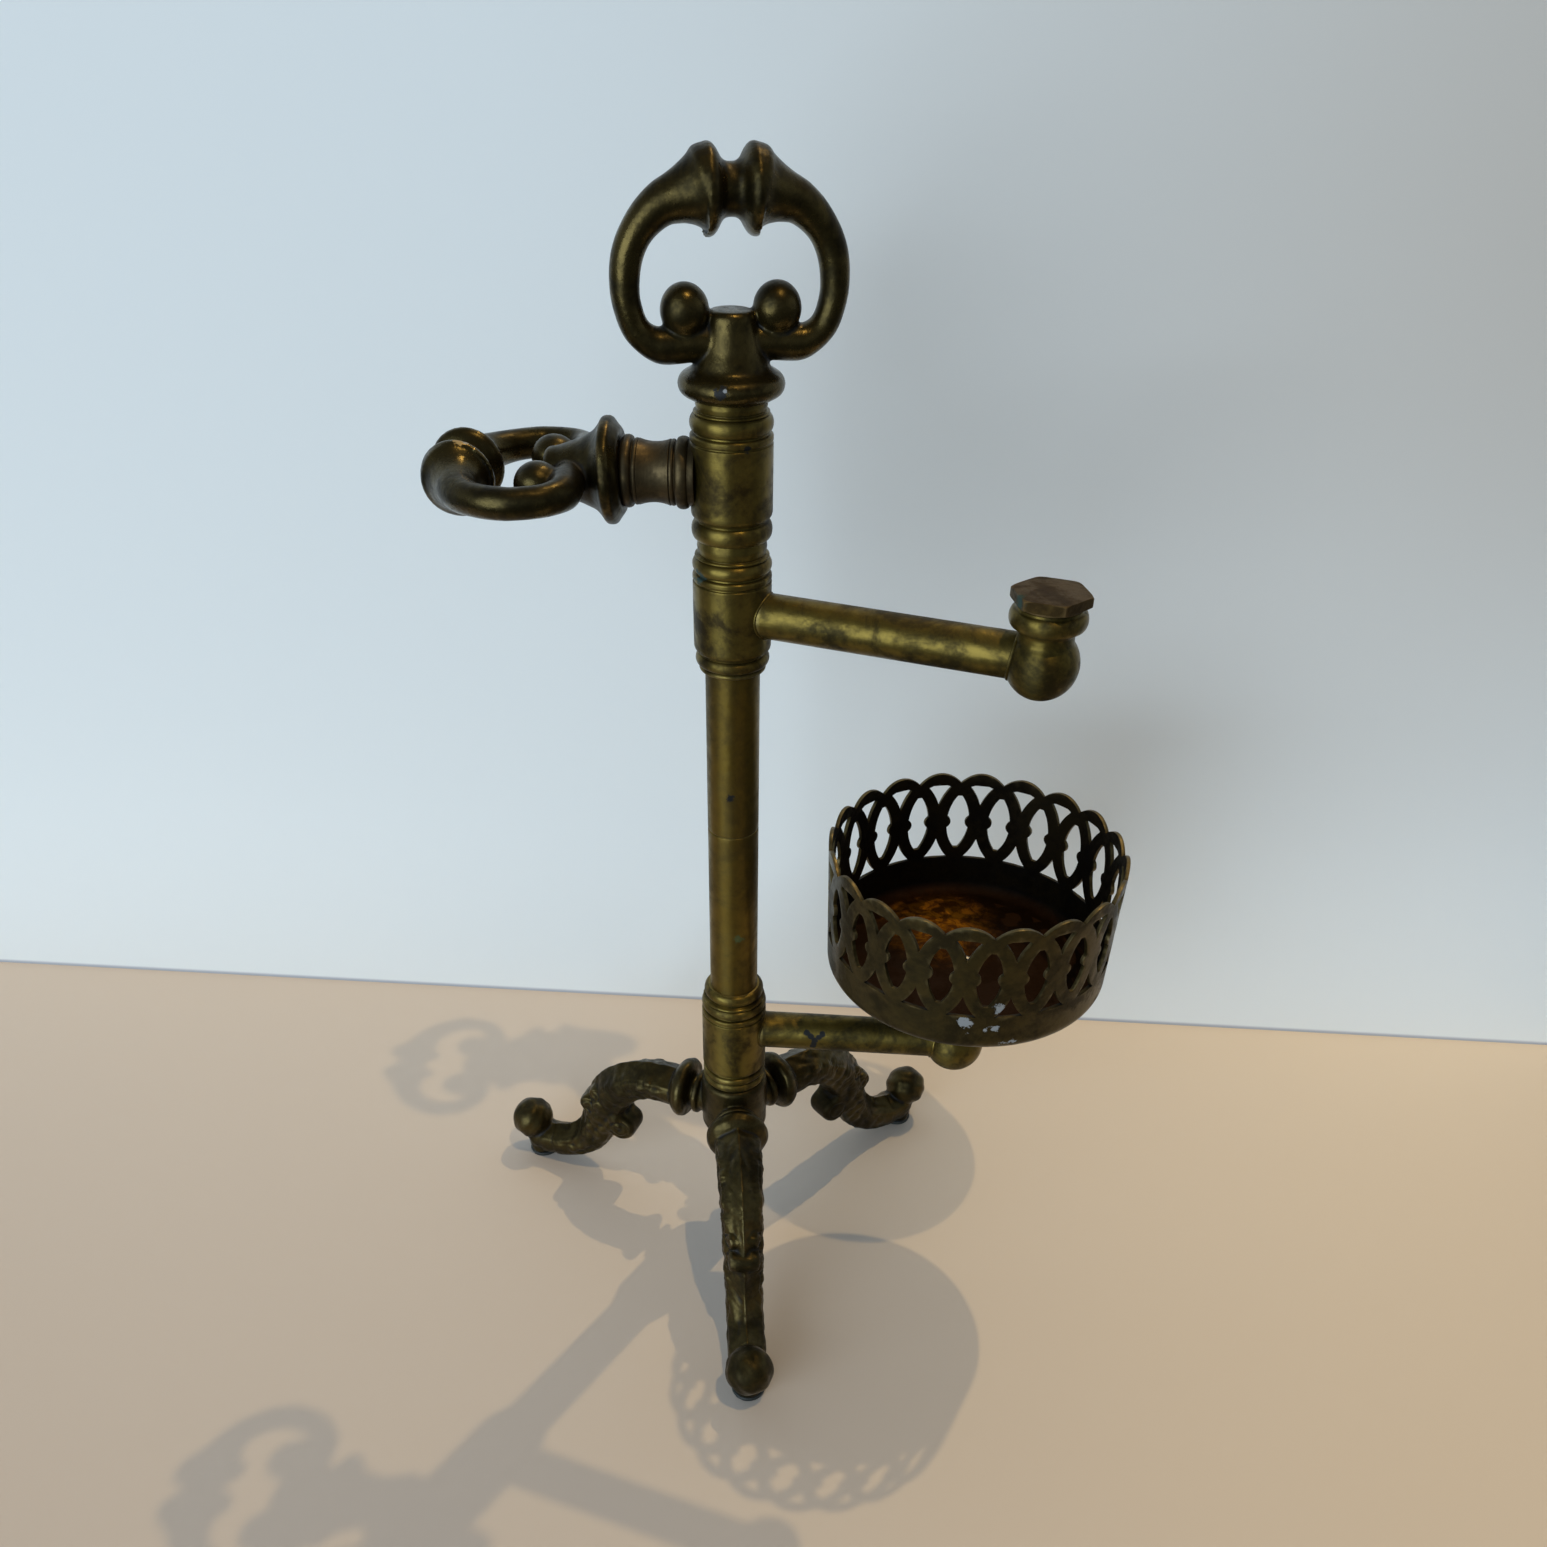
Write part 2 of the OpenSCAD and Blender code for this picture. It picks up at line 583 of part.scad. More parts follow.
module basket_screw() {
    color(worn_steel) basket_frame() translate([0, 0, basket_rise]) union() {
        translate([0, 0, basket_t - basket_screw_l])
            cylinder(d = basket_screw_d, h = basket_screw_l - fit_gap);
        intersection() {
            basket_screw_head(0, 0);
            cylinder(r = basket_d / 2, h = basket_t - fit_gap);
        }
    }
}

module brush_frame() {
    translate([0, 0, brush_axis_z]) rotate([0, 0, 180 - brush_turn]) children();
}

module brush_spigot() {
    s = spigot_d / 2;
    l = spigot_l;
    color(bronze) brush_frame() difference() {
        translate([sleeve_r - 4, 0, 0]) along_x() revolve(concat([[0, 0], [s - 0.6, 0]],
            bead(4 + 0.2, 4 + 3.4, s - 0.9, s), [[s - 1.3, 4 + 3.6]],
            bead(4 + 3.8, 4 + 5, s - 1.2, s - 0.8, 4),
            arc([s + 10.2, 4 + l / 2 + 0.4], 11.8, 202, 158),
            bead(4 + l - 4.4, 4 + l - 3.2, s - 1.2, s - 0.8, 4), [[s - 1.3, 4 + l - 3]],
            bead(4 + l - 2.8, 4 + l - 0.1, s - 0.9, s), [[s - 0.9, 4 + l], [0, 4 + l]]));
        cylinder(r = sleeve_r, h = 3 * s, center = true);
        along_x() cylinder(d = spigot_stud_d, h = sleeve_r + l + 1);
    }
}

spigot_stud_out = 9;

module spigot_stud() {
    color(worn_steel) brush_frame() translate([rod_r + 1.4, 0, 0]) along_x()
        cylinder(d = spigot_stud_d, h = sleeve_r + spigot_l + spigot_stud_out - rod_r - 1.4);
}

// Half of a loop's rod, from the middle of its base round to the neck between the flanges:
// [sideways, up from the base ring's middle, half thickness, half width]
flange_r = flange_d / 2;
flange_x = 5.3;
loop_half_t = loop_rod_d / 2;
function loop_half(h) = let (w = loop_half_w, t = loop_half_t) [
    [0, 9.6, t + 0.7, t + 0.9],
    [8, 9.8, t + 0.8, t + 1],
    [14, 9.5, t + 0.9, t + 1.1],
    [17.4, 9.4, t + 0.8, t + 1],
    [w - 6.6, 10, t + 0.4, t + 0.8],
    [w - 4.1, 11.5, t, t + 0.6],
    [w - 2.1, 13.8, t - 0.1, t + 0.5],
    [w - 0.8, 17.2, t - 0.1, t + 0.5],
    [w, 21.6, t, t + 0.5],
    [w - 0.3, h - 16.4, t + 0.2, t + 0.6],
    [w - 1.4, h - 12.3, t + 0.3, t + 0.6],
    [w - 3.4, h - 8.6, t + 0.4, t + 0.7],
    [w - 6.3, h - 5.3, t + 0.8, t + 1],
    [w - 9.7, h - 2.8, t + 1.4, t + 1.6],
    [13, h - 1.5, t + 2.4, t + 2.6],
    [9.2, h - 0.8, t + 4, t + 4.1],
    [7.3, h - 0.3, flange_r - 1.1, flange_r - 1.1],
    [flange_x + 0.5, h, flange_r - 0.1, flange_r - 0.1],
    [flange_x - 0.8, h, flange_r - 0.4, flange_r - 0.4],
    [3.4, h, flange_r - 2.7, flange_r - 2.7],
    [2.2, h, 6.2, 6.2],
    [0, h, 5.8, 5.8]];
round_section = [for (k = [0 : 13]) [-sin(360 * k / 14), cos(360 * k / 14)]];

module loop_side(h) {
    sweep(smooth(loop_half(h), 2), round_section);
}

// Loop casting: base ring at the origin, its axis and the loop along +Z up to the flanges' axis
module loop_casting(top, bore_d, bore_l) {
    b = loop_base_d / 2;
    h = loop_base_h / 2;
    knob_x = 11.7;
    knob_z = 17.7;
    difference() {
        union() {
            revolve(concat([[0, -h]], [[b - 3, -h]], arc([b - 2.9, 0], 3, -80, 70, 8),
                [[b - 3.4, h + 0.2], [10, h + 0.6], [8.2, 8], [6.6, 13.4], [6.2, 16.2],
                 [5.2, 17.3], [0, 17.5]]));
            loop_side(top);
            mirror([1, 0, 0]) loop_side(top);
            for (side = [-1, 1]) translate([side * knob_x, 0, knob_z]) sphere(d = knob_d);
            for (side = [-1, 1]) translate([side * knob_x, 0, 8.5])
                cylinder(d1 = 8, d2 = 9, h = knob_z - 8.5);
        }
        translate([0, 0, -h - 1]) cylinder(d = bore_d, h = bore_l + 1);
    }
}

module brush_loop() {
    color(bronze) brush_frame()
        translate([sleeve_r + spigot_l + loop_base_h / 2, 0, 0]) along_x() rotate([0, 0, 90])
            loop_casting(brush_loop_h, spigot_stud_d, spigot_stud_out);
}

module top_handle() {
    color(bronze) translate([0, 0, handle_z + loop_base_h / 2]) rotate([0, 0, handle_turn])
        loop_casting(loop_h, rod_d + 2 * fit_gap, rod_thread + 0.5);
}

hub();
leg_front();
leg_left();
leg_right();
leg_studs();
foot_pads();
lower_column_tube();
upper_column_tube();
column_nipple();
tie_rod();
base_washer();
base_nut();
lower_sleeve();
lower_arm_tube();
lower_ball_end();
basket_stem();
basket_cup();
basket_screw();
upper_sleeve();
upper_arm_tube();
upper_ball_end();
socket_plug();
spacer_ring();
brush_collar();
brush_spigot();
spigot_stud();
brush_loop();
neck_ring();
top_handle();
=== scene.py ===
import math
from functools import partial

import bmesh
import bpy
import numpy as np
from mathutils import Matrix, Vector
from mathutils.geometry import delaunay_2d_cdt


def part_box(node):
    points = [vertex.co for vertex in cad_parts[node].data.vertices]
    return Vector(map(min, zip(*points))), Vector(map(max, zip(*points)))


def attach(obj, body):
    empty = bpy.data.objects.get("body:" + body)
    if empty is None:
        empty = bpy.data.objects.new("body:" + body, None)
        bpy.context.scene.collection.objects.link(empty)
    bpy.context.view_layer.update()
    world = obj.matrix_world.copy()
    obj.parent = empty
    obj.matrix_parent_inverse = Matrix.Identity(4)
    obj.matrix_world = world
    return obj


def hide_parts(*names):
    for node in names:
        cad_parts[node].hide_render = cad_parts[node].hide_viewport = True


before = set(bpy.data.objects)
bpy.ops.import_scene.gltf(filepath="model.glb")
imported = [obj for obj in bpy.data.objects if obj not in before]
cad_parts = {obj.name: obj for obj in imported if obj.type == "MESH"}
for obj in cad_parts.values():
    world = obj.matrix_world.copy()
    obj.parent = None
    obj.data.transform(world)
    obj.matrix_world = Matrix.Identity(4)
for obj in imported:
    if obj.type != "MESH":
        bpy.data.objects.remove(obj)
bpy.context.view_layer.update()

# Hub
# The block that the legs bolt on to: sand-cast bronze, turned on top to seat the column, with a
# round boss for each leg. The tie rod's nut pulls it up against the column from below.
mm = 0.001
clearance = 0.05
rod_r = 4.0
rod_bore = rod_r + clearance
column_r = 8.0
column_bore = column_r + clearance
hub_r, hub_edge = 11.75, 1.2
hub_socket_depth = 8
leg_root_z = 55.5
leg_boss_r = 8.2
leg_face_x = 14.35
leg_turns = {"leg_front": 3 - 90, "leg_left": -113 - 90, "leg_right": 126 - 90}


def spun(degrees, axis="Z"):
    return Matrix.Rotation(math.radians(degrees), 4, axis)


def moved_to(x, y, z):
    return Matrix.Translation((x, y, z))


along_x = spun(90, "Y")


def levels(node):
    """Lowest and highest height of a CAD node, in mm."""
    low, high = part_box(node)
    return low[2] / mm, high[2] / mm


def arc(centre_r, centre_z, radius, start, end, steps=10, rise=None):
    """Part of a circle, or of an ellipse where it has its own half height."""
    angles = np.radians(np.linspace(start, end, steps + 1))
    rise = rise or radius
    return [(centre_r + radius * math.cos(a), centre_z + rise * math.sin(a)) for a in angles]


def bead(low, high, inner, outer, steps=12):
    """Half-round bead between two heights, from one radius out to another and back."""
    return arc(inner, (low + high) / 2, outer - inner, -90, 90, steps, (high - low) / 2)


def eased(outline, radius, steps=3):
    """The same outline with its sharp corners rounded, as wear and polishing leave them."""
    points = [np.array(p, float) for p in outline]
    result = [tuple(points[0])]
    for before, here, after in zip(points, points[1:], points[2:]):
        a, b = before - here, after - here
        la, lb = np.linalg.norm(a), np.linalg.norm(b)
        if la < 1e-9 or lb < 1e-9:
            continue
        if a @ b < la * lb * math.cos(math.radians(150)):
            result.append(tuple(here))
            continue
        cut = min(radius, 0.45 * la, 0.45 * lb)
        p, q = here + a / la * cut, here + b / lb * cut
        for t in np.linspace(0, 1, steps + 1):
            result.append(tuple((1 - t) ** 2 * p + 2 * t * (1 - t) * here + t * t * q))
    result.append(tuple(points[-1]))
    return result


def close_set(outline, step):
    """The same outline with no two points further apart than a step."""
    result = [outline[0]]
    for p, q in zip(outline, outline[1:]):
        count = max(1, math.ceil(math.dist(p, q) / step))
        result += [tuple(np.array(p) + (np.array(q) - np.array(p)) * k / count)
                   for k in range(1, count + 1)]
    return result


def drum(bore, shoulder, outer, low, high, edge):
    """Outline of a plain turned part, chamfered at both ends from a shoulder to the full radius."""
    return [(bore, low), (shoulder, low), (outer, low + edge), (outer, high - edge),
            (shoulder, high), (bore, high)]


def round_angles(sides):
    return np.linspace(0, 2 * math.pi, sides, endpoint=False)


def skin(rows, closed=False):
    """Faces between each ring of vertex numbers and the next."""
    faces = []
    for low, high in zip(rows, rows[1:] + rows[:1] if closed else rows[1:]):
        for k in range(len(low)):
            n = (k + 1) % len(low)
            face = [low[k], low[n], high[n], high[k]]
            face = [v for i, v in enumerate(face) if v not in face[:i]]
            if len(face) > 2:
                faces.append(face)
    return faces


def lathed(outline, sides=128, closed=False, across=None, corner=40):
    """Vertices and faces of an outline of (radius, height) spun about Z. With a size across the
    flats, the outline is cut down to six sides, softly at the corners."""
    angles = round_angles(sides)
    verts, rows = [], []
    for r, z in outline:
        if r < 1e-6:
            rows.append([len(verts)] * sides)
            verts.append((0.0, 0.0, z))
            continue
        radii = np.full(sides, r)
        if across and r > 0.3 * across:
            flats = across / 2 / np.cos((angles % (math.pi / 3)) - math.pi / 6)
            radii = (r ** -float(corner) + flats ** -float(corner)) ** (-1 / corner)
        rows.append(list(range(len(verts), len(verts) + sides)))
        verts.extend((q * math.cos(a), q * math.sin(a), z) for q, a in zip(radii, angles))
    return verts, skin(rows, closed)


def moved(solid, matrix):
    verts, faces = solid
    return [tuple(matrix @ Vector(v)) for v in verts], faces


def new_object(name, data):
    item = bpy.data.objects.new(name, data)
    bpy.context.scene.collection.objects.link(item)
    return item


def shade(mesh, degrees):
    """Smooth shading, with creases sharper than an angle kept."""
    mesh.shade_smooth()
    mesh.set_sharp_from_angle(angle=math.radians(degrees))


def new_piece(name, solids):
    """One mesh object from solids given in mm, with its normals outwards."""
    verts, faces = [], []
    for vs, fs in solids:
        offset = len(verts)
        verts.extend(tuple(c * mm for c in v) for v in vs)
        faces.extend([i + offset for i in f] for f in fs)
    mesh = bpy.data.meshes.new(name)
    mesh.from_pydata(verts, [], faces)
    bm = bmesh.new()
    bm.from_mesh(mesh)
    bmesh.ops.remove_doubles(bm, verts=bm.verts, dist=1e-7)
    bmesh.ops.recalc_face_normals(bm, faces=bm.faces)
    bm.to_mesh(mesh)
    bm.free()
    shade(mesh, 35)
    return new_object(name, mesh)


def per_vertex(mesh, what):
    """Places or normals of a mesh's vertices, one row for each."""
    values = np.empty(len(mesh.vertices) * 3)
    mesh.vertices.foreach_get(what, values)
    return values.reshape(-1, 3)


def averaged(values, mesh, passes):
    """Values on a mesh's vertices, each blended with its neighbours so many times over."""
    ends = np.empty(len(mesh.edges) * 2, np.int32)
    mesh.edges.foreach_get("vertices", ends)
    a, b = ends[0::2], ends[1::2]
    size = len(values)
    count = np.maximum(np.bincount(ends, minlength=size), 1)
    columns = values.reshape(size, -1).copy()
    for _ in range(passes):
        for c in range(columns.shape[1]):
            total = np.bincount(a, columns[b, c], size) + np.bincount(b, columns[a, c], size)
            columns[:, c] = 0.5 * columns[:, c] + 0.5 * total / count
    return columns.reshape(values.shape)


def mark_relief(piece, depth, passes=20):
    """Stores how far each point stands above (1) or below (0) what is round it, for wear, dirt and
    painted shade.
    """
    mesh = piece.data
    co = per_vertex(mesh, "co")
    height = ((co - averaged(co, mesh, passes)) * per_vertex(mesh, "normal")).sum(1)
    height = averaged(height - np.median(height), mesh, 2)
    relief = np.clip(0.5 + height / (2 * depth * mm), 0, 1)
    layer = mesh.attributes.new("relief", "FLOAT", "POINT")
    layer.data.foreach_set("value", relief.astype(np.float32))


def set_all(item, **settings):
    for key, value in settings.items():
        setattr(item, key, value)
    return item


def plain_copy(source, name):
    """The evaluated shape of an object as a plain mesh object of its own."""
    graph = bpy.context.evaluated_depsgraph_get()
    mesh = bpy.data.meshes.new_from_object(source.evaluated_get(graph))
    mesh.name = name
    bpy.data.objects.remove(source)
    return new_object(name, mesh)


def put_points(mesh, co):
    mesh.vertices.foreach_set("co", co.ravel())
    mesh.update()


def cast_in_one(name, solids, grain, passes):
    """Overlapping solids run together as one casting, with the soft inner corners of a mould."""
    rough = new_piece(name + "_pattern", solids)
    set_all(rough.modifiers.new("mould", "REMESH"), mode="VOXEL", voxel_size=grain * mm)
    piece = plain_copy(rough, name)
    co = per_vertex(piece.data, "co")
    for _ in range(passes):
        co = averaged(co, piece.data, 2)
        co = co + 0.9 * (co - averaged(co, piece.data, 1))
    put_points(piece.data, co)
    piece.data.shade_smooth()
    return piece


def feed(socket, value):
    """Links an output to a socket, or sets the socket's value. Colours are red, green and blue."""
    if hasattr(value, "is_output"):
        socket.id_data.links.new(value, socket)
    else:
        socket.default_value = (*value, 1) if socket.type == "RGBA" else value


def feed_all(node, values):
    """Feeds a node's inputs, each by its name or number."""
    for key, value in values.items():
        feed(node.inputs[key], value)


def add_node(tree, kind, values=None, output=0, **settings):
    """One output of a new node, once its settings are made and its inputs fed."""
    node = set_all(tree.nodes.new(kind), **settings)
    feed_all(node, values or {})
    return node.outputs[output]


def maths(operation, a, b):
    tree = a.id_data if hasattr(a, "is_output") else b.id_data
    return add_node(tree, "ShaderNodeMath", {0: a, 1: b}, operation=operation)


times, plus, minus = (partial(maths, operation) for operation in ("MULTIPLY", "ADD", "SUBTRACT"))


def vectors(operation, a, b, output=0):
    second = "Scale" if operation == "SCALE" else 1
    return add_node(a.id_data, "ShaderNodeVectorMath", {0: a, second: b}, output, operation=operation)


def ranged(source, low, high, to_low=0.0, to_high=1.0):
    values = dict(enumerate((source, low, high, to_low, to_high)))
    return add_node(source.id_data, "ShaderNodeMapRange", values, interpolation_type="SMOOTHSTEP")


def noise(vector, scale, detail=4.0, roughness=0.55, distortion=0.0):
    return add_node(vector.id_data, "ShaderNodeTexNoise", {
        "Vector": vector, "Scale": scale, "Detail": detail, "Roughness": roughness,
        "Distortion": distortion}, "Fac")


def mixed(mask, first, second):
    values = {0: mask, 6: first, 7: second}
    return add_node(mask.id_data, "ShaderNodeMix", values, 2, data_type="RGBA")


def bumped(height, strength, distance=0.0002, under=None):
    """The normal that a height gives, on top of another normal where there is one."""
    values = {"Height": height, "Strength": strength, "Distance": distance}
    if under is not None:
        values["Normal"] = under
    return add_node(height.id_data, "ShaderNodeBump", values)


def node_group(name, inputs, outputs, tree_type="ShaderNodeTree"):
    """A new node group, with sockets from rows of (name, kind, default where it matters), the
    sockets that its inputs come out of, and its end node."""
    tree = bpy.data.node_groups.new(name, tree_type)
    for side, rows in (("INPUT", inputs), ("OUTPUT", outputs)):
        for label, kind, *default in rows:
            socket = tree.interface.new_socket(label, in_out=side, socket_type="NodeSocket" + kind)
            if default:
                socket.default_value = default[0]
    return tree, tree.nodes.new("NodeGroupInput").outputs, tree.nodes.new("NodeGroupOutput")


def patina_group():
    """Old metal's colour changes: broad clouds, fine specks and the green of verdigris."""
    tree, given, out = node_group(
        "patina", [("Vector", "Vector"), ("Size", "Float", 1.0), ("Green", "Float", 0.3)],
        [("Clouds", "Float"), ("Specks", "Float"), ("Verdigris", "Float")])
    here = vectors("SCALE", given["Vector"], given["Size"])
    broad, fine = noise(here, 60, 6, 0.62, 0.8), noise(here, 380, 3, 0.6)
    level = minus(0.84, times(given["Green"], 0.28))
    feed_all(out, {
        "Clouds": ranged(plus(times(broad, 0.75), times(fine, 0.25)), 0.38, 0.62),
        "Specks": ranged(noise(here, 1300, 2, 0.7), 0.56, 0.72),
        "Verdigris": ranged(minus(noise(here, 85, 6, 0.72, 1.0), level), -0.02, 0.06)})
    return tree


def wear_group():
    """From the stored relief, where hands have rubbed the metal, and the hollows darkened with dirt and
    painted shade.
    """
    tree, given, out = node_group("wear", [("Vector", "Vector"), ("Relief", "Float", 0.5)],
                                  [("Rubbed", "Float"), ("Dirt", "Float")])
    uneven = times(minus(noise(given["Vector"], 240, 4, 0.65), 0.5), 0.5)
    level = plus(given["Relief"], uneven)
    # Low places get the dark mask: real dirt, and painted shade in the hollows.
    feed_all(out, {"Rubbed": ranged(level, 0.60, 0.92), "Dirt": ranged(level, 0.14, 0.42, 1.0, 0.0)})
    return tree


def stain_group():
    """One ragged spot round a centre, as a drip, a chip or a fleck of paint leaves."""
    tree, given, out = node_group(
        "stain", [("Vector", "Vector"), ("Centre", "Vector"), ("Size", "Float", 0.003),
                  ("Ragged", "Float", 0.6)], [("Mask", "Float")])
    far = vectors("DISTANCE", given["Vector"], given["Centre"], "Value")
    share = maths("DIVIDE", far, given["Size"])
    rough = minus(noise(given["Vector"], 520, 5, 0.7), 0.5)
    rough = times(rough, times(given["Ragged"], 4.0))
    feed(out.inputs["Mask"], ranged(plus(share, rough), 0.75, 1.05, 1.0, 0.0))
    return tree


patina = patina_group()
wear = wear_group()
stain = stain_group()
verdigris_green = (0.028, 0.048, 0.034)


def group_outputs(group, place, values):
    values = {"Vector": place, **values}
    return add_node(place.id_data, "ShaderNodeGroup", values, node_tree=group).node.outputs


def new_material(name):
    """A new material, with its shader and the place on the object."""
    material = bpy.data.materials.new(name)
    material.use_nodes = True
    tree = material.node_tree
    place = add_node(tree, "ShaderNodeTexCoord", output="Object")
    return material, tree.nodes["Principled BSDF"], place


def old_metal(name, tones, green=0.3, size=1.0, rough=(0.34, 0.52), lines=None, grain=700,
              bump=0.3, waves=0.0, metallic=0.85, rub=1.0, sheen=0.3, stains=()):
    """Aged metal: its dark and middle tones in clouds, the third on rubbed high places, the fourth
    for dirt and painted shade in hollows, verdigris and fixed stains. Lines are turning marks, given
    as the turn from Z to the turned axis."""
    dark, middle, rubbed, dirt_and_shade = tones
    material, shader, place = new_material(name)
    tree = material.node_tree
    cover = group_outputs(patina, place, {"Size": size, "Green": green})
    relief = add_node(tree, "ShaderNodeAttribute", output="Fac", attribute_name="relief")
    rubs = group_outputs(wear, place, {"Relief": relief})
    colour = mixed(cover["Clouds"], dark, middle)
    colour = mixed(times(rubs["Rubbed"], rub), colour, rubbed)
    # The fourth tone darkens hollows: dirt, and painted shade.
    colour = mixed(rubs["Dirt"], colour, dirt_and_shade)
    colour = mixed(cover["Verdigris"], colour, verdigris_green)
    dull = maths("MAXIMUM", times(rubs["Dirt"], 0.7), cover["Verdigris"])
    for centre, radius, ragged, shade_of_it in stains:
        spot = group_outputs(stain, place, {
            "Centre": tuple(c * mm for c in centre), "Size": radius * mm, "Ragged": ragged})["Mask"]
        colour = mixed(spot, colour, shade_of_it)
        dull = maths("MAXIMUM", dull, spot)
    gloss = ranged(cover["Clouds"], 0.0, 1.0, rough[1], rough[0])
    gloss = plus(plus(gloss, times(dull, 0.25)), times(cover["Specks"], 0.12))
    marks = noise(place, grain, 4, 0.62)
    if lines is not None:
        about = add_node(tree, "ShaderNodeMapping", {"Vector": place, "Rotation": lines},
                         vector_type="TEXTURE")
        rings = noise(vectors("MULTIPLY", about, (0.12, 0.12, 3.0)), grain, 3, 0.6)
        marks = plus(times(marks, 0.5), times(rings, 0.5))
        if not any(lines):
            round_axis = add_node(tree, "ShaderNodeTangent", direction_type="RADIAL", axis="Z")
            feed_all(shader, {"Tangent": round_axis, "Anisotropic": 0.75, "Anisotropic Rotation": 0.25})
    wavy = bumped(noise(place, 95, 2, 0.5), waves, 0.0012) if waves else None
    feed_all(shader, {
        "Base Color": colour, "Metallic": ranged(dull, 0.0, 1.0, metallic, 0.15), "Roughness": gloss,
        "Specular IOR Level": sheen, "Normal": bumped(marks, bump, under=wavy)})
    return material


def paint(mesh, *materials):
    mesh.materials.clear()
    for material in materials:
        mesh.materials.append(material)


def finish_piece(piece, material, body, node, relief=None, passes=20):
    """Stores a piece's relief, paints it, and says what it rides on and which node it replaces."""
    if relief:
        mark_relief(piece, relief, passes)
    if material:
        paint(piece.data, material)
    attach(piece, body)
    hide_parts(node)


# The dirt tone darkens hollows, as dirt and painted shade.
bronze_dark, bronze_middle = (0.020, 0.015, 0.005), (0.064, 0.047, 0.015)
bronze_rubbed, bronze_dirt_and_shade = (0.20, 0.135, 0.045), (0.005, 0.004, 0.002)
cast_bronze = old_metal(
    "cast_bronze", (bronze_dark, bronze_middle, (0.13, 0.10, 0.050), bronze_dirt_and_shade), green=0.35,
    rough=(0.30, 0.50), grain=900, bump=0.45, metallic=0.88, waves=0.25, rub=0.35)

hub_bottom, hub_top = levels("hub")
hub_socket_floor = hub_top - hub_socket_depth
hub_outline = eased([
    (rod_bore, hub_bottom), (hub_r - 4, hub_bottom), (hub_r - hub_edge, hub_bottom + hub_edge),
    (hub_r, hub_bottom + 4), (hub_r, hub_top - hub_edge), (hub_r - hub_edge, hub_top),
    (column_bore, hub_top)], 1.0)
hub_outline += [(column_bore, hub_socket_floor), (rod_bore, hub_socket_floor)]
boss_outline = eased([(0, 9), (6.4, 9), (6.8, 12.0), (leg_boss_r, 12.5), (leg_boss_r, leg_face_x),
                      (0, leg_face_x)], 0.5)
hub_solids = [lathed(hub_outline, closed=True)]
for turn in leg_turns.values():
    boss_place = spun(turn) @ moved_to(0, 0, leg_root_z) @ along_x
    hub_solids.append(moved(lathed(boss_outline, 64), boss_place))
hub = cast_in_one("hub_casting", hub_solids, grain=0.42, passes=2)
finish_piece(hub, cast_bronze, "base", "hub", 0.5)


# Legs
# Three alike castings from one pattern: a root disc, an S-scroll strap carved with a ridge, veins
# and leaf edges, a rolled curl inside the knee, and a ball on the toe. A stud holds each to the hub.
foot_reach = 88.5
foot_ball_z, foot_ball_r = 15.2, 8.2
half_w = 7.5
leg_flange_r = 11.3
leg_spine = [
    (leg_face_x + 5.6, leg_root_z, 6.8, half_w + 0.6), (30, leg_root_z + 0.2, 6.4, half_w + 0.8),
    (39, leg_root_z - 2.4, 7.0, half_w + 0.4), (47.5, leg_root_z - 9.3, 7.9, half_w),
    (53.6, leg_root_z - 19.3, 7.8, half_w - 0.4), (56.4, 27, 7.4, half_w - 0.6),
    (60.2, 18.4, 6.9, half_w - 0.8), (67.5, 11.9, 6.4, half_w - 0.8), (76, 9.0, 6.1, half_w - 0.7),
    (foot_reach - 5, 8.8, 5.9, half_w - 0.7), (foot_reach - 1, foot_ball_z - 4, 4.4, half_w - 1.6)]
ridge_side = [(0.28, 0.92), (0.6, 0.70), (0.9, 0.42), (0.98, 0.1), (0.97, -0.35), (0.82, -0.78),
              (0.45, -0.98)]
ridged_section = [(0, 1.14)] + [(-s, t) for s, t in ridge_side] + [(0, -1)] + ridge_side[::-1]


def smooth_path(points, steps):
    """Catmull-Rom path through rows of numbers."""
    p = np.array(points, float)
    rows = []
    for i in range(len(p) - 1):
        a, b, c, d = p[max(i - 1, 0)], p[i], p[i + 1], p[min(i + 2, len(p) - 1)]
        for t in np.arange(steps) / steps:
            rows.append(0.5 * (2 * b + (c - a) * t + (2 * a - 5 * b + 4 * c - d) * t * t
                               + (3 * b - a - 3 * c + d) * t ** 3))
    rows.append(p[-1])
    return np.array(rows)


def headings(path):
    d = np.gradient(path[:, :2], axis=0)
    return d / np.linalg.norm(d, axis=1)[:, None]


def numbered(count, sides):
    """Vertex numbers of so many rings, one ring after another."""
    return np.arange(count * sides).reshape(count, sides).tolist()


def swept(path, section):
    """A bar along a path of (x, z, half thickness, half width), with closed ends."""
    verts = []
    for (x, z, thick, wide), (hx, hz) in zip(path, headings(path)):
        verts.extend((x - hz * thick * t, -wide * s, z + hx * thick * t) for s, t in section)
    rows = numbered(len(path), len(section))
    return verts, skin(rows) + [rows[0], rows[-1]]


def ball(x, y, z, radius, sides=72):
    return moved(lathed(arc(0, 0, radius, -90, 90, 36), sides), moved_to(x, y, z))


def roll(x, z, radius, half_width):
    """A rolled scroll end, lying across the strap."""
    outline = eased(drum(0, radius * 0.72, radius, -half_width, half_width, 1.6), 1)
    return moved(lathed(outline, 64), moved_to(x, 0, z) @ spun(90, "X"))


def bump_at(value, centre, width):
    return np.exp(-((value - centre) / width) ** 2)


def between(value, low, high):
    t = np.clip((value - low) / (high - low), 0, 1)
    return t * t * (3 - 2 * t)


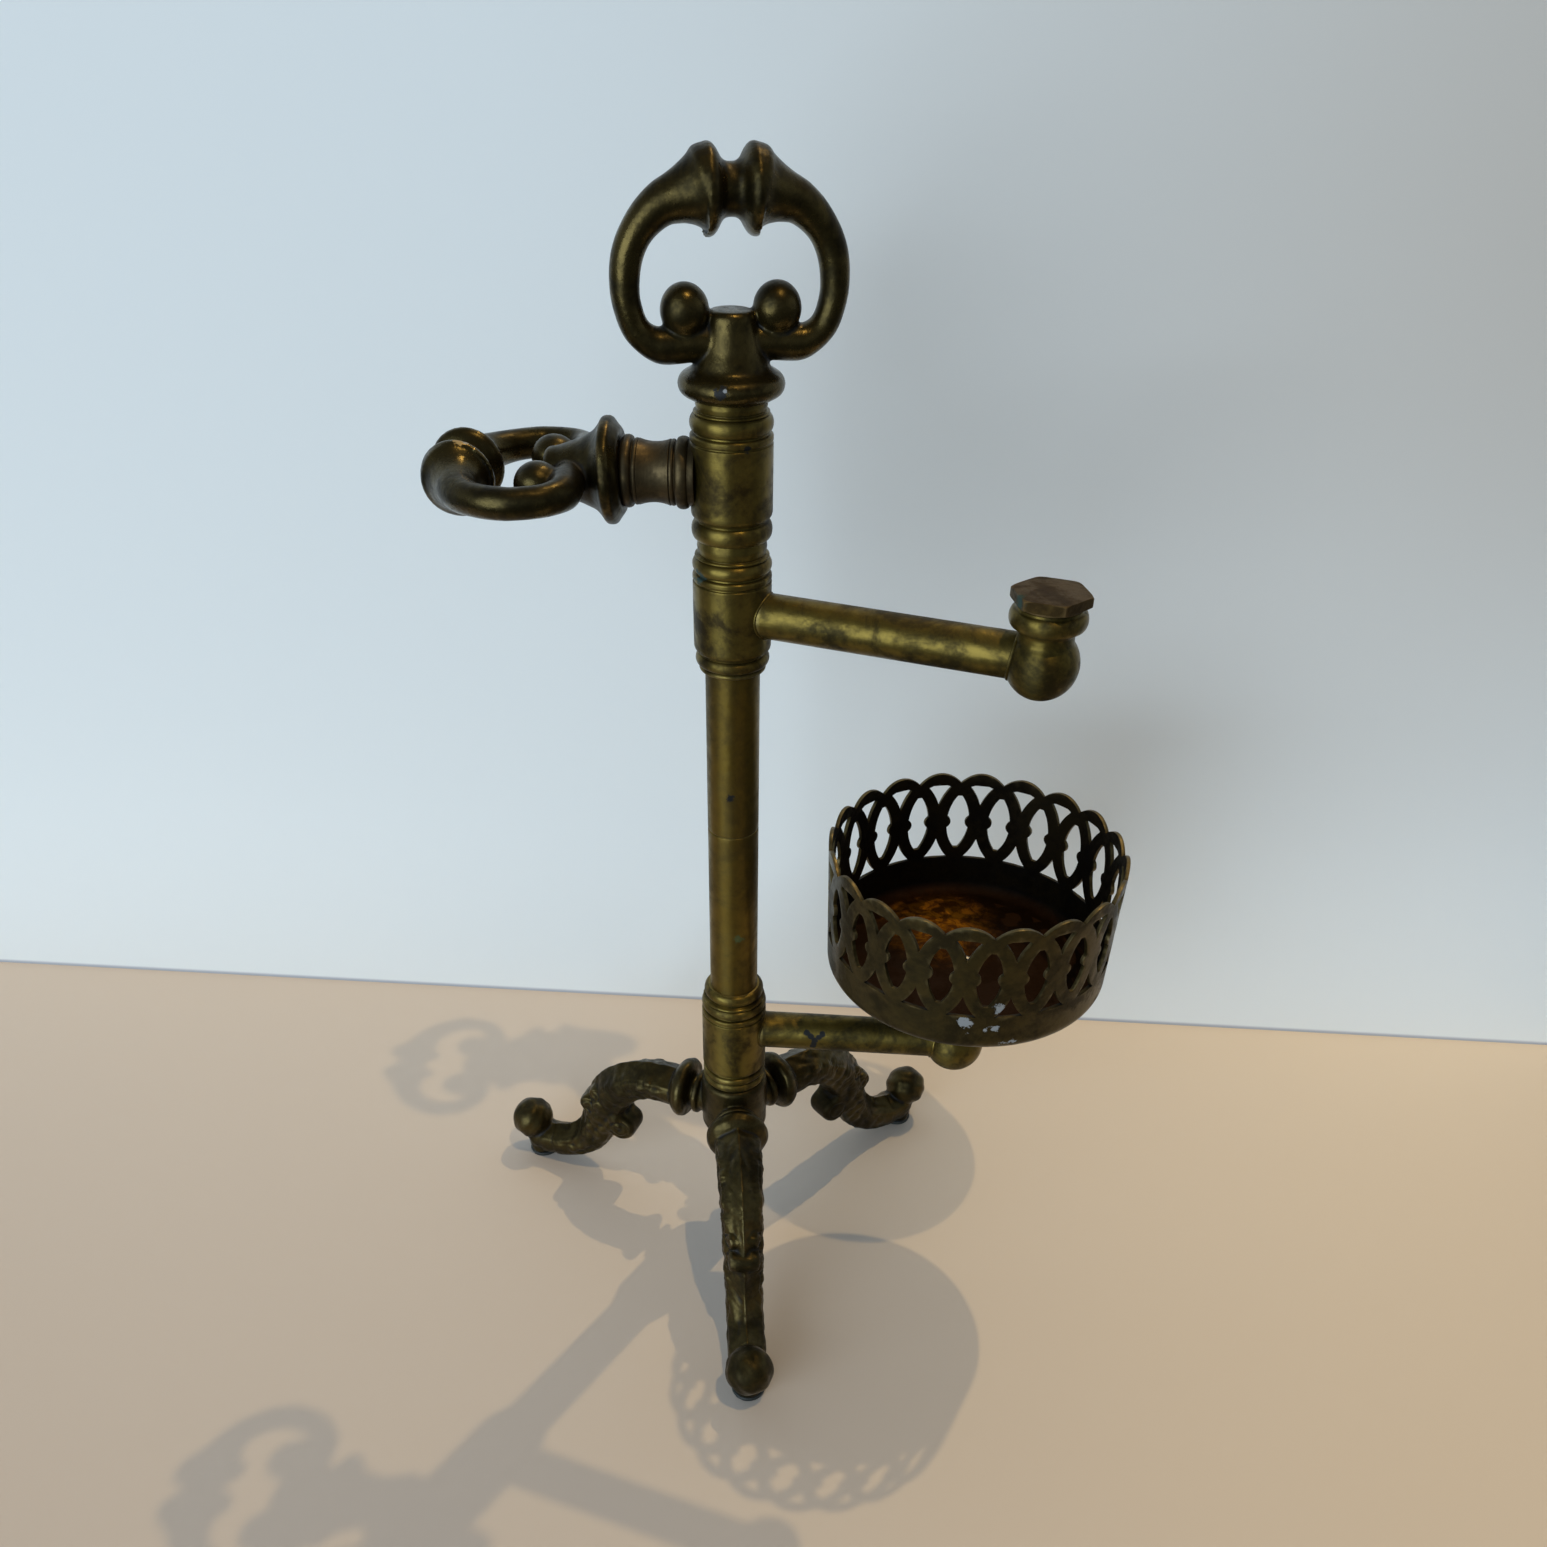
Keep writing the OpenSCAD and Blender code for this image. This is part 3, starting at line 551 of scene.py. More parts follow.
curl = (46.2, leg_root_z - 27, 5.8)
leaf_tips = ((56.0, leg_root_z - 13.0, 3.1), (59.4, leg_root_z - 19.3, 4.1))
leg_path = smooth_path(leg_spine, 8)
leg_disc = eased([(0, 0), (5.6, 0), (5.2, 1.4), (7.6, 2.2), (leg_flange_r - 0.9, 2.8),
                  (leg_flange_r, 4.6), (leg_flange_r - 0.9, 6.8), (8.4, 8.6), (0, 9.4)], 1.4)
pad_x = foot_reach - 4
toe_seat = [(0, 1.6), (5.6, 1.6), (5.9, 3), (5.6, 6), (0, 6)]
leg_solids = [moved(lathed(leg_disc, 96), moved_to(leg_face_x, 0, leg_root_z) @ along_x),
              swept(leg_path, ridged_section), roll(*curl, 6.0), roll(50.6, leg_root_z - 24.2, 6.6, 6.6),
              ball(foot_reach, 0, foot_ball_z, foot_ball_r),
              moved(lathed(toe_seat, 64), moved_to(pad_x, 0, 0))]
leg_solids += [roll(*tip, 5.4) for tip in leaf_tips]
leg_pattern = cast_in_one("leg_casting", leg_solids, grain=0.4, passes=3)


def carve_leg(mesh):
    """Cuts the veins, leaf edges and curl grooves into the cast strap."""
    co = per_vertex(mesh, "co") / mm
    spine, ahead = leg_path[:, :2], headings(leg_path)
    along, aside, up = co.T
    near = ((co[:, None, [0, 2]] - spine[None]) ** 2).sum(2).argmin(1)
    run = np.concatenate([[0], np.cumsum(np.linalg.norm(np.diff(spine, axis=0), axis=1))])
    s = run[near]
    off = co[:, [0, 2]] - spine[near]
    w = (-off[:, 0] * ahead[near, 1] + off[:, 1] * ahead[near, 0]) / leg_path[near, 2]
    wide = np.abs(aside / leg_path[near, 3])
    on_strap = between(s, 4, 10) * (1 - between(s, run[-1] - 22, run[-1] - 12))
    on_strap *= 1 - between(np.abs(w), 1.12, 1.3)
    top, flank = between(w, 0.25, 0.5), between(wide, 0.72, 0.86)
    sway = 1.1 * np.sin(s / 5.3 + 0.6 * aside) + 0.8 * np.sin(s / 3.1 - 0.9 * aside + 2)
    cut = top * 0.14 * bump_at(wide, 0.5 + 0.05 * sway, 0.16)
    for level, deep in ((0.3, 0.36), (-0.35, 0.34)):
        cut += flank * deep * bump_at(w, level + 0.16 * sway, 0.16)
    leaf = bump_at(wide, 0.95, 0.3) * between(w, -0.3, 0.3)
    leaf *= between(s, 8, 14) * (1 - between(s, 56, 64))
    cut -= leaf * (0.55 * np.abs(np.sin(math.pi * s / 7.4 + 0.5 * sway)) - 0.1)
    lumps = np.sin(0.83 * along + 1.1 * sway) * np.sin(0.94 * up + 0.8 * aside)
    cut += (0.16 + 0.12 * flank) * lumps
    depth = cut * on_strap
    for x, z, r in (curl,) + leaf_tips:
        d = np.hypot(along - x, up - z) / r
        side = between(np.abs(aside), 4.6, 5.6) * (d < 1.1)
        depth += side * (0.55 * bump_at(d, 0.62, 0.13) + 0.25 * bump_at(d, 0.0, 0.2))
    dents = np.sin(along * 0.9 + 0.4 * up) * np.sin(aside * 0.7 + up * 0.5 + 1)
    depth += 0.10 * dents + (0.16 + 0.14 * dents) * (s > run[-1] - 12)
    put_points(mesh, (co - per_vertex(mesh, "normal") * depth[:, None]) * mm)


carve_leg(leg_pattern.data)
mark_relief(leg_pattern, 0.35)
for leg_name, turn in leg_turns.items():
    leg_mesh = leg_pattern.data.copy()
    leg_mesh.transform(spun(turn))
    leg = new_object(leg_name + "_casting", leg_mesh)
    finish_piece(leg, cast_bronze, "base", leg_name)
bpy.data.objects.remove(leg_pattern)


# Foot pads
# A black rubber disc under each toe, pressed on, with a soft bulging edge.
def plain_material(name, first, second, rough, bump, metallic=0.0):
    """A mottled, finely rough material for the small hidden parts."""
    material, shader, place = new_material(name)
    cover = group_outputs(patina, place, {"Size": 2.0, "Green": 0.0})
    feed_all(shader, {
        "Base Color": mixed(cover["Clouds"], first, second), "Metallic": metallic,
        "Roughness": ranged(cover["Specks"], 0.0, 1.0, rough, rough + 0.2),
        "Normal": bumped(noise(place, 900, 4, 0.6), bump)})
    return material


pad_rubber = plain_material("pad_rubber", (0.012, 0.014, 0.013), (0.03, 0.036, 0.032), 0.6, 0.4)
pad_outline = eased([(0, 0), (5.5, 0), (5.75, 0.8), (5.6, 1.6), (0, 1.6)], 0.35)
pads = new_piece("foot_pad_discs", [moved(lathed(pad_outline, 64), spun(turn) @ moved_to(pad_x, 0, 0))
                                    for turn in leg_turns.values()])
finish_piece(pads, pad_rubber, "base", "foot_pads")


# Tie rod, nut, washer and studs
# A steel rod runs up the whole column. Its threaded foot takes a chamfered nut on a brass washer
# under the hub, and its head screws into the top handle. The leg studs, the column's nipple and the
# spigot's stud are hidden inside, and stay as they come.
worn_steel = plain_material("worn_steel", (0.20, 0.19, 0.17), (0.34, 0.33, 0.31), 0.35, 0.2, 0.9)
for node in ("leg_studs", "column_nipple", "spigot_stud"):
    paint(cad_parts[node].data, worn_steel)
rod_foot, rod_top = levels("tie_rod")
thread_top, thread_pitch = hub_bottom + 4, 1.25
rod_outline = [(0, rod_foot), (rod_r - 0.8, rod_foot)]
z = rod_foot + 0.6
while z < thread_top:
    rod_outline += [(rod_r - 0.45, z), (rod_r, z + thread_pitch / 2)]
    z += thread_pitch
rod_outline += [(rod_r, z), (rod_r, rod_top - 0.6), (rod_r - 0.6, rod_top), (0, rod_top)]
finish_piece(new_piece("tie_rod_turned", [lathed(rod_outline, 48)]), worn_steel, "base",
             "tie_rod")
low, high = levels("base_nut")
nut_outline = close_set(drum(rod_bore, 6.0, 7.6, low, high, 0.9), 0.5)
nut = new_piece("base_nut_hex", [lathed(nut_outline, 120, closed=True, across=13, corner=90)])
finish_piece(nut, worn_steel, "base", "base_nut")
# The dirt tone darkens hollows, as dirt and painted shade.
brass_rubbed, brass_dirt_and_shade = (0.24, 0.178, 0.056), (0.008, 0.006, 0.002)
upright = (0.0, 0.0, 0.0)
teal = (0.035, 0.058, 0.045)
soot = (0.006, 0.006, 0.005)
old_white = (0.26, 0.27, 0.27)
turned_brass = old_metal(
    "turned_brass", ((0.038, 0.026, 0.008), (0.158, 0.112, 0.023), brass_rubbed, brass_dirt_and_shade),
    green=0.32, lines=upright, waves=0.2,
    stains=[((-9.4, -5.8, 255.6), 2.2, 0.7, teal), ((4.2, -10.3, 290.8), 1.0, 0.5, soot)])
low, high = levels("base_washer")
washer_r = 8.5
washer_outline = eased([(rod_bore, low), (washer_r, low), (washer_r, high), (rod_bore, high)], 0.4)
washer = new_piece("base_washer_disc", [lathed(washer_outline, 64, closed=True)])
finish_piece(washer, turned_brass, "base", "base_washer")


# Column tubes
# Two lengths of drawn brass tube that meet at a fine seam, with a nipple inside it. The rod clamps
# them between the hub and the upper sleeve.
tube_bore, tube_edge = column_r - 1.5, 0.35
tube_brass = old_metal(
    "tube_brass", ((0.080, 0.053, 0.012), (0.148, 0.096, 0.016), brass_rubbed, brass_dirt_and_shade),
    green=0.25, size=0.7, waves=0.35, grain=620, lines=upright,
    stains=[((-1.0, -7.9, 187), 1.3, 0.8, soot), ((1.6, -7.8, 134), 1.5, 1.2, (0.060, 0.066, 0.020))])
for node in ("lower_column_tube", "upper_column_tube"):
    low, high = levels(node)
    outline = eased(drum(tube_bore, column_r - tube_edge, column_r, low, high, tube_edge), 0.2)
    tube = new_piece(node + "_drawn", [lathed(close_set(outline, 1.5), closed=True)])
    finish_piece(tube, tube_brass, "base", node, 0.2, 6)


# Lower sleeve and arm
# A turned brass sleeve that swings on the column above the hub. It carries a tube arm, soldered to
# it on a saddle, and a turned ball end with a beaded socket for the basket's stem.
sleeve_r = 11.1
groove = 1.3
groove_r = sleeve_r - groove
over_foot = ((groove, 0.1), (groove, 0.5), (0.9, 0.9), (0.2, 1.5), (0, 2.3))
under_head = ((0, 2.9), (0.5, 2.75), (0.5, 2.3), (0, 2.1), (0, 0.9), (0.3, 0.55), (groove, 0.45),
              (groove, 0.1))


def edge_bands(bands):
    """Turned bands one over another, from rows of (low, high, inner radius, outer radius)."""
    return [point for band in bands for point in bead(*band, 10)]


def turned_sleeve(node, body, foot, head, bore, *inside):
    """A sleeve: the foot's bands, a groove, the plain body, and the head's bands, whose heights
    count down from the top. The bore is the one at the top, before any points further down."""
    low, high = levels(node)
    h = high - low
    outside = ([(column_bore, 0), (foot[0][2], 0)] + edge_bands(foot)
               + [(sleeve_r - depth, foot[-1][1] + rise) for depth, rise in over_foot]
               + [(sleeve_r - depth, h - head[0][0] - drop) for depth, drop in under_head]
               + edge_bands([(h - a, h - b, inner, outer) for a, b, inner, outer in head])
               + [(head[-1][2], h)])
    outline = close_set(eased(outside, 0.2), 0.5) + [(bore, h), *inside]
    sleeve = new_piece(node + "_turned", [
        moved(lathed(outline, 144, closed=True), moved_to(0, 0, low))])
    finish_piece(sleeve, turned_brass, body, node, 0.26, 8)


turned_sleeve("lower_sleeve", "lower_arm",
              [(0.05, 3.3, groove_r, sleeve_r), (3.4, 5.9, groove_r + 0.4, sleeve_r - 0.1)],
              [(9.3, 5.7, groove_r, sleeve_r), (5.6, 4.5, groove_r, sleeve_r - 0.5),
               (4.0, 0.05, groove_r - 1.1, groove_r + 0.3)], column_bore)
arm_r = 6.35
arm_bore = arm_r - 1.2
arm_above_ball = 0.9
arm_seat = 4.2
ball_r = 10.0


def solder_ring(points, radius, sides=10):
    """A thin closed ring of solder along a closed line of points."""
    p = np.array(points, float)
    ahead = np.roll(p, -1, 0) - np.roll(p, 1, 0)
    ahead /= np.linalg.norm(ahead, axis=1)[:, None]
    out = p - p.mean(0)
    out -= (out * ahead).sum(1)[:, None] * ahead
    out /= np.linalg.norm(out, axis=1)[:, None]
    third = np.cross(ahead, out)
    verts = [tuple(p[i] + radius * (math.cos(a) * out[i] + math.sin(a) * third[i]))
             for i in range(len(p)) for a in round_angles(sides)]
    return verts, skin(numbered(len(p), sides), True)


socket_rise, socket_bore_r, socket_depth = 16.0, 4.75, 9.0
neck_r = 7.5
neck_low = math.sqrt(ball_r ** 2 - neck_r ** 2) + 1
ball_end_outline = (
    arc(0, 0, ball_r, -90, math.degrees(math.acos((neck_r + 0.3) / ball_r)), 40)
    + eased([(neck_r + 0.1, neck_low - 0.6), (neck_r, neck_low + 1.4),
             (neck_r + 1, neck_low + 2.5)], 0.5)
    + bead(neck_low + 2.8, socket_rise - 0.8, neck_r + 1.6, neck_r + 2.9)
    + eased([(neck_r + 1.4, socket_rise - 0.6), (neck_r + 1.2, socket_rise),
             (socket_bore_r, socket_rise), (socket_bore_r, socket_rise - socket_depth)], 0.25)
    + [(0, socket_rise - socket_depth)])


def swing_arm(side, reach, turn, height):
    """An arm from its saddle on the sleeve to its seat in the ball, with its solder, and its ball
    end. Returns the place of the ball."""
    place = moved_to(0, 0, height) @ spun(turn)
    end = place @ moved_to(reach, 0, -arm_above_ball)
    start, stop = sleeve_r - 2.5, reach - arm_seat
    outline = close_set([(arm_bore, start), (arm_r, start), (arm_r, stop), (arm_bore, stop)], 1.2)
    saddle, rim = [], []
    for a in round_angles(96):
        y, z = arm_r * math.cos(a), arm_r * math.sin(a)
        saddle.append((math.sqrt(sleeve_r ** 2 - y * y), y, z))
        away = math.sqrt(max(1.0, ball_r ** 2 - y * y - (z + arm_above_ball) ** 2))
        rim.append((reach - away, y, z))
    solids = [moved(lathed(outline, 96, closed=True), along_x), solder_ring(saddle, 0.42),
              solder_ring(rim, 0.5)]
    body = side + "_arm"
    arm = new_piece(body + "_drawn", [moved(s, place) for s in solids])
    finish_piece(arm, arm_brass, body, body + "_tube", 0.4, 6)
    ball_end = new_piece(side + "_ball_turned", [
        moved(lathed(close_set(ball_end_outline, 0.7), 120), end)])
    finish_piece(ball_end, end_brass, body, side + "_ball_end", 0.4, 10)
    return end


arm_tones = ((0.036, 0.027, 0.008), (0.146, 0.102, 0.020), (0.24, 0.18, 0.06), (0.008, 0.006, 0.002))
arm_spots = (((28.0, -9.0, 91.5), 1.3, 0.25), ((26.6, -8.4, 92.8), 1.2, 0.3),
             ((25.2, -7.8, 94.0), 1.2, 0.3), ((29.3, -8.7, 92.6), 1.1, 0.3),
             ((30.6, -8.3, 93.7), 1.2, 0.3), ((27.7, -9.0, 90.2), 1.2, 0.3),
             ((27.4, -9.0, 88.8), 1.3, 0.3))
arm_brass = old_metal("arm_brass", arm_tones, green=0.35, size=1.1, waves=0.55, grain=560, bump=0.4,
                      rub=0.6, stains=[(*spot, soot) for spot in arm_spots])
end_brass = old_metal("end_brass", arm_tones, green=0.35, waves=0.3, lines=upright)
lower_turn = -5.5
lower_end = swing_arm("lower", 77.3, lower_turn, 90.3)


# Basket stem and screw
# A turned stem plugs into the lower socket and spreads into a flange under the basket's floor. A
# countersunk, slotted steel screw comes down through the floor into it.
basket_rise = 33.6
stem_h = basket_rise - socket_rise
plug_r = socket_bore_r - clearance
stem_outline = eased(
    [(0, 1 - socket_depth), (plug_r, 1 - socket_depth), (plug_r, 0), (8.2, 0), (8.6, 0.8), (8.2, 2.2),
     (5.6, 2.8)] + arc(8.6, stem_h / 2 + 0.3, 3.4, 230, 130)
    + [(6.6, stem_h - 4.4), (13, stem_h - 2), (13.4, stem_h - 1.2), (13.4, stem_h), (0, stem_h)], 0.3)
stem_place = lower_end @ moved_to(0, 0, socket_rise)
stem = new_piece("basket_stem_turned", [moved(lathed(close_set(stem_outline, 0.8), 96), stem_place)])
finish_piece(stem, end_brass, "basket", "basket_stem", 0.4, 8)

basket_t = 1.2
basket_place = lower_end @ moved_to(0, 0, basket_rise)
screw_r, screw_l = 2.5, 12.0
screw_top = basket_t - clearance
screw_outline = [(0, basket_t - screw_l), (screw_r, basket_t - screw_l), (screw_r, 0),
                 (screw_r + screw_top, screw_top), (0, screw_top)]
screw_place = basket_place @ spun(35)
slot_half_w, slot_depth = 0.45, 0.7
slot_box = [(x, y, z) for x in (-5, 5) for y in (-slot_half_w, slot_half_w)
            for z in (screw_top - slot_depth, screw_top + 1)]
slot_faces = [(0, 1, 3, 2), (4, 6, 7, 5), (0, 4, 5, 1), (2, 3, 7, 6), (0, 2, 6, 4), (1, 5, 7, 3)]
slot_cutter = new_piece("slot_cutter", [moved((slot_box, slot_faces), screw_place)])
screw_blank = new_piece("screw_blank", [moved(lathed(screw_outline, 64), screw_place)])
screw_blank.modifiers.new("slot", "BOOLEAN").object = slot_cutter
screw = plain_copy(screw_blank, "basket_screw_slotted")
bpy.data.objects.remove(slot_cutter)
finish_piece(screw, worn_steel, "basket", "basket_screw")


# Mug basket
# Sheet brass, spun to a cup and then pierced and filed: twenty interlaced rings with small nubs
# that pinch the openings between them, above a plain band. It is brown outside. Inside, walls and
# floor are painted dark as shade, with a painted pool of amber light on the floor.
basket_r, basket_taper, basket_h, basket_round = 46.97, 1.2, 47.0, 5.0
ring_count = 20
ring_mid = 28.5
outer_b, strap = 18.5, 3.9
inner_b = outer_b - strap
ring_step = basket_r * math.sin(2 * math.pi / ring_count)
inner_a = 0.77 * ring_step
outer_a = inner_a + 1.1 * strap
rim_a = 0.8 * outer_a
ring_phase = 12.6
nub_r, nub_sunk = 2.1, 0.7
band_top = 14.3 - ring_mid
half_step = ring_step / 2
horn_base = inner_b - 0.35


def ellipse_at(reach, along, offset):
    """How far an ellipse reaches, at an offset along its other axis."""
    return reach * math.sqrt(max(0.0, 1 - offset * offset / (along * along)))


def eye_outline():
    """Opening that two rings share, pointed at both ends and pinched by its two nubs."""
    top = ellipse_at(inner_b, inner_a, half_step) - 0.9
    right = []
    for v in top * np.sin(np.radians(np.linspace(-90, 90, 45))):
        nub = math.sqrt(nub_r ** 2 - v * v) - nub_sunk if abs(v) < nub_r else 0
        right.append((max(0.22, ellipse_at(inner_a, inner_b, v) - half_step - max(0, nub)), v))
    return right + [(-u, v) for u, v in reversed(right)]


def horn_side(low, high, steps, inside_ring):
    """Half width of the curved triangle inside a ring, from its apex to its base."""
    points = []
    for v in np.linspace(low, high, steps):
        side = ring_step - ellipse_at(outer_a, outer_b, v)
        if inside_ring:
            side = min(side, ellipse_at(inner_a, inner_b, v))
        points.append((max(0.0, side), v))
    return points


def inside(p, loop):
    hit = False
    for (x1, y1), (x2, y2) in zip(loop, loop[1:] + loop[:1]):
        if (y1 > p[1]) != (y2 > p[1]) and p[0] < x1 + (p[1] - y1) / (y2 - y1) * (x2 - x1):
            hit = not hit
    return hit


def gallery_cell():
    """One repeat of the cup, from one ring's middle to the next: its wall, cut flat and wrapped
    round, then its rounded corner and its share of the floor."""
    foot = basket_round - ring_mid
    across = np.linspace(-half_step, half_step, 15)
    apex = ellipse_at(outer_b, outer_a, ring_step) + 0.3
    upper_horn = horn_side(apex, horn_base, 14, True)
    lower_horn = [(u, -v) for u, v in horn_side(apex, -band_top, 14, False)]
    side = [(0, foot)] + [(0, v) for v in np.arange(foot + 1.4, band_top - 0.7, 1.4)]
    side += [(0, band_top)] + lower_horn[::-1]
    side += [(0, v) for v in np.linspace(-apex, apex, 13)]
    side += upper_horn + [(0, horn_base), (0, (inner_b + outer_b) / 2)]
    right = [(half_step - u, v) for u, v in side]
    rim = [(half_step - u, ellipse_at(outer_b, rim_a, u)) for u in np.linspace(0, half_step, 13)]
    rim += [(-u, v) for u, v in reversed(rim[:-1])]
    outline = [(u, foot) for u in across[1:-1]] + right + rim
    outline += [(-u, v) for u, v in reversed(right)]
    eye = eye_outline()
    grid = [(u, v) for v in np.arange(foot + 1.2, outer_b, 1.25)
            for u in np.arange(-half_step + 1.2, half_step - 0.6, 1.21)]
    grid = [p for p in grid if inside(p, outline) and not inside(p, eye)
            and all(math.dist(p, q) > 0.55 for q in outline + eye)]
    n, m = len(outline), len(eye)
    edges = [(i, (i + 1) % n) for i in range(n)] + [(n + i, n + (i + 1) % m) for i in range(m)]
    flat = [Vector(p) for p in outline + eye + grid]
    verts, _, faces, *_ = delaunay_2d_cdt(flat, edges, [], 0, 1e-4)
    kept = []
    for face in faces:
        middle = (sum(verts[i].x for i in face) / 3, sum(verts[i].y for i in face) / 3)
        if inside(middle, outline) and not inside(middle, eye):
            kept.append(tuple(face))
    turn = 2 * math.pi / ring_count / ring_step
    foot_r = basket_r - basket_taper
    points = []
    for p in verts:
        r = foot_r + basket_taper * (p.y - foot) / (basket_h - basket_round)
        points.append((r * math.cos(p.x * turn), r * math.sin(p.x * turn), p.y + ring_mid))
    floor_r = foot_r - basket_round
    rows = [(foot_r, basket_round)] + arc(floor_r, basket_round, basket_round, 0, -90, 12)[1:]
    rows += [(r, 0.0) for r in np.linspace(floor_r, screw_r + basket_t, 24)[1:]]
    start, wide = len(points), len(across)
    for r, z in rows:
        points += [(r * math.cos(u * turn), r * math.sin(u * turn), z) for u in across]
    for i in range(len(rows) - 1):
        for k in range(wide - 1):
            a = start + i * wide + k
            kept.append((a, a + 1, a + wide + 1, a + wide))
    return points, kept


def repeat_tree():
    """Geometry Nodes: turns the cell round its axis so many times and welds the seams."""
    tree, given, out = node_group(
        "ring_gallery", [("Geometry", "Geometry"), ("Rings", "Int"), ("Weld", "Float"),
                         ("Finish", "Material")], [("Geometry", "Geometry")], "GeometryNodeTree")
    line = add_node(tree, "GeometryNodeMeshLine", {"Count": given["Rings"], "Offset": (0, 0, 0)})
    share = maths("DIVIDE", add_node(tree, "GeometryNodeInputIndex"), given["Rings"])
    about_z = add_node(tree, "ShaderNodeCombineXYZ", {"Z": times(share, 2 * math.pi)})
    cells = add_node(tree, "GeometryNodeInstanceOnPoints", {
        "Points": line, "Instance": given["Geometry"], "Rotation": about_z})
    cells = add_node(tree, "GeometryNodeRealizeInstances", {0: cells})
    welded = add_node(tree, "GeometryNodeMergeByDistance", {
        "Geometry": cells, "Distance": given["Weld"]})
    feed(out.inputs[0], add_node(tree, "GeometryNodeSetMaterial", {
        "Geometry": welded, "Material": given["Finish"]}))
    return tree


def on_wall(degrees, height, radius=46.4):
    """A point of the basket's wall, by its direction and its height above the basket's foot."""
    return tuple(basket_place.translation + spun(degrees) @ Vector((radius, 0, height)))


flecks = ((-87, 18.0, 1.6), (-85, 16.4, 1.0), (-99, 11.9, 1.9), (-97.3, 8.1, 0.7), (-91, 9.4, 0.8),
          (-87.6, 10.2, 1.3), (-83.5, 3.6, 1.2), (-81.4, 3.7, 1.0), (-79, 3.9, 1.0))
basket_outside = old_metal(
    "basket_outside", ((0.024, 0.017, 0.005), (0.060, 0.044, 0.013), (0.12, 0.092, 0.040),
                       (0.007, 0.005, 0.002)),
    green=0.3, rough=(0.36, 0.55), grain=520, waves=0.2, metallic=0.8,
    stains=[(on_wall(turn, height), r, 1.2, old_white) for turn, height, r in flecks]
    + [(on_wall(24, 33, 47), 2.2, 0.9, teal)])


def basket_lining():
    """Inside of the basket: walls and floor painted dark as shade, and a blotchy painted pool of
    amber light on the floor, darker towards its edge as painted shade.
    """
    # The walls inside are painted dark as shade.
    material = old_metal(
        "basket_inside", ((0.006, 0.004, 0.002), (0.018, 0.012, 0.005), (0.06, 0.043, 0.02),
                          (0.003, 0.002, 0.001)),
        green=0.1, rough=(0.5, 0.7), metallic=0.7, sheen=0.1)
    tree = material.node_tree
    coat = tree.nodes["Principled BSDF"].inputs["Base Color"]
    walls = coat.links[0].from_socket
    place = add_node(tree, "ShaderNodeTexCoord", output="Object")
    centre = basket_place.translation * mm + Vector((0, 0, basket_t * mm))
    local = vectors("SUBTRACT", place, tuple(centre))
    rise = add_node(tree, "ShaderNodeSeparateXYZ", {0: local}, "Z")
    low = ranged(rise, 0.0006, 0.0035, 1.0, 0.0)
    far = vectors("LENGTH", vectors("MULTIPLY", local, (1, 1, 0)), (0, 0, 0), "Value")
    flat = vectors("MULTIPLY", local, (1.0, 0.9, 0))
    lit = vectors("DISTANCE", flat, (-0.006, 0.0205, 0), "Value")
    ragged = minus(noise(place, 70, 6, 0.68, 1.2), 0.5)
    edge = plus(lit, times(ragged, 0.022))
    # A painted pool of light in amber on the floor, round a point towards the back left.
    painted_light_pool = times(ranged(edge, 0.003, 0.025, 1.0, 0.0), low)
    blotch = ranged(noise(place, 210, 5, 0.7, 0.8), 0.42, 0.62)
    painted_pool_colour = mixed(blotch, (0.072, 0.023, 0.001), (0.28, 0.108, 0.003))
    # The pool darkens towards the floor's edge, as painted shade.
    painted_pool_colour = mixed(ranged(far, 0.034, 0.044), painted_pool_colour, (0.035, 0.011, 0.002))
    # Outside the pool the floor is painted dark as shade.
    feed(coat, mixed(painted_light_pool, mixed(low, walls, (0.016, 0.006, 0.001)), painted_pool_colour))
    return material


cell = new_piece("basket_cell", [gallery_cell()])
rings = cell.modifiers.new("rings", "NODES")
rings.node_group = repeat_tree()
ring_values = {"Rings": ring_count, "Weld": 0.00002, "Finish": basket_outside}
for item in rings.node_group.interface.items_tree:
    if item.in_out == "INPUT" and item.name in ring_values:
        rings[item.identifier] = ring_values[item.name]
blank = plain_copy(cell, "basket_sheet")
blank.data.transform(spun(ring_phase + lower_turn + 180 / ring_count))
blank.data.transform(Matrix.Translation(basket_place.translation * mm))
bm = bmesh.new()
bm.from_mesh(blank.data)
bmesh.ops.recalc_face_normals(bm, faces=bm.faces)
underside = min(bm.faces, key=lambda f: f.calc_center_median().z)
if underside.normal.z > 0:
    bmesh.ops.reverse_faces(bm, faces=bm.faces)
bm.to_mesh(blank.data)
bm.free()
paint(blank.data, basket_outside, basket_lining())
set_all(blank.modifiers.new("sheet", "SOLIDIFY"), thickness=basket_t * mm, offset=-1, material_offset=1)
set_all(blank.modifiers.new("soften", "BEVEL"), width=0.16 * mm, segments=2, limit_method="ANGLE",
        angle_limit=math.radians(55))
cup = plain_copy(blank, "basket_cup_pierced")
shade(cup.data, 40)
finish_piece(cup, None, "basket", "basket_cup", 0.12, 4)


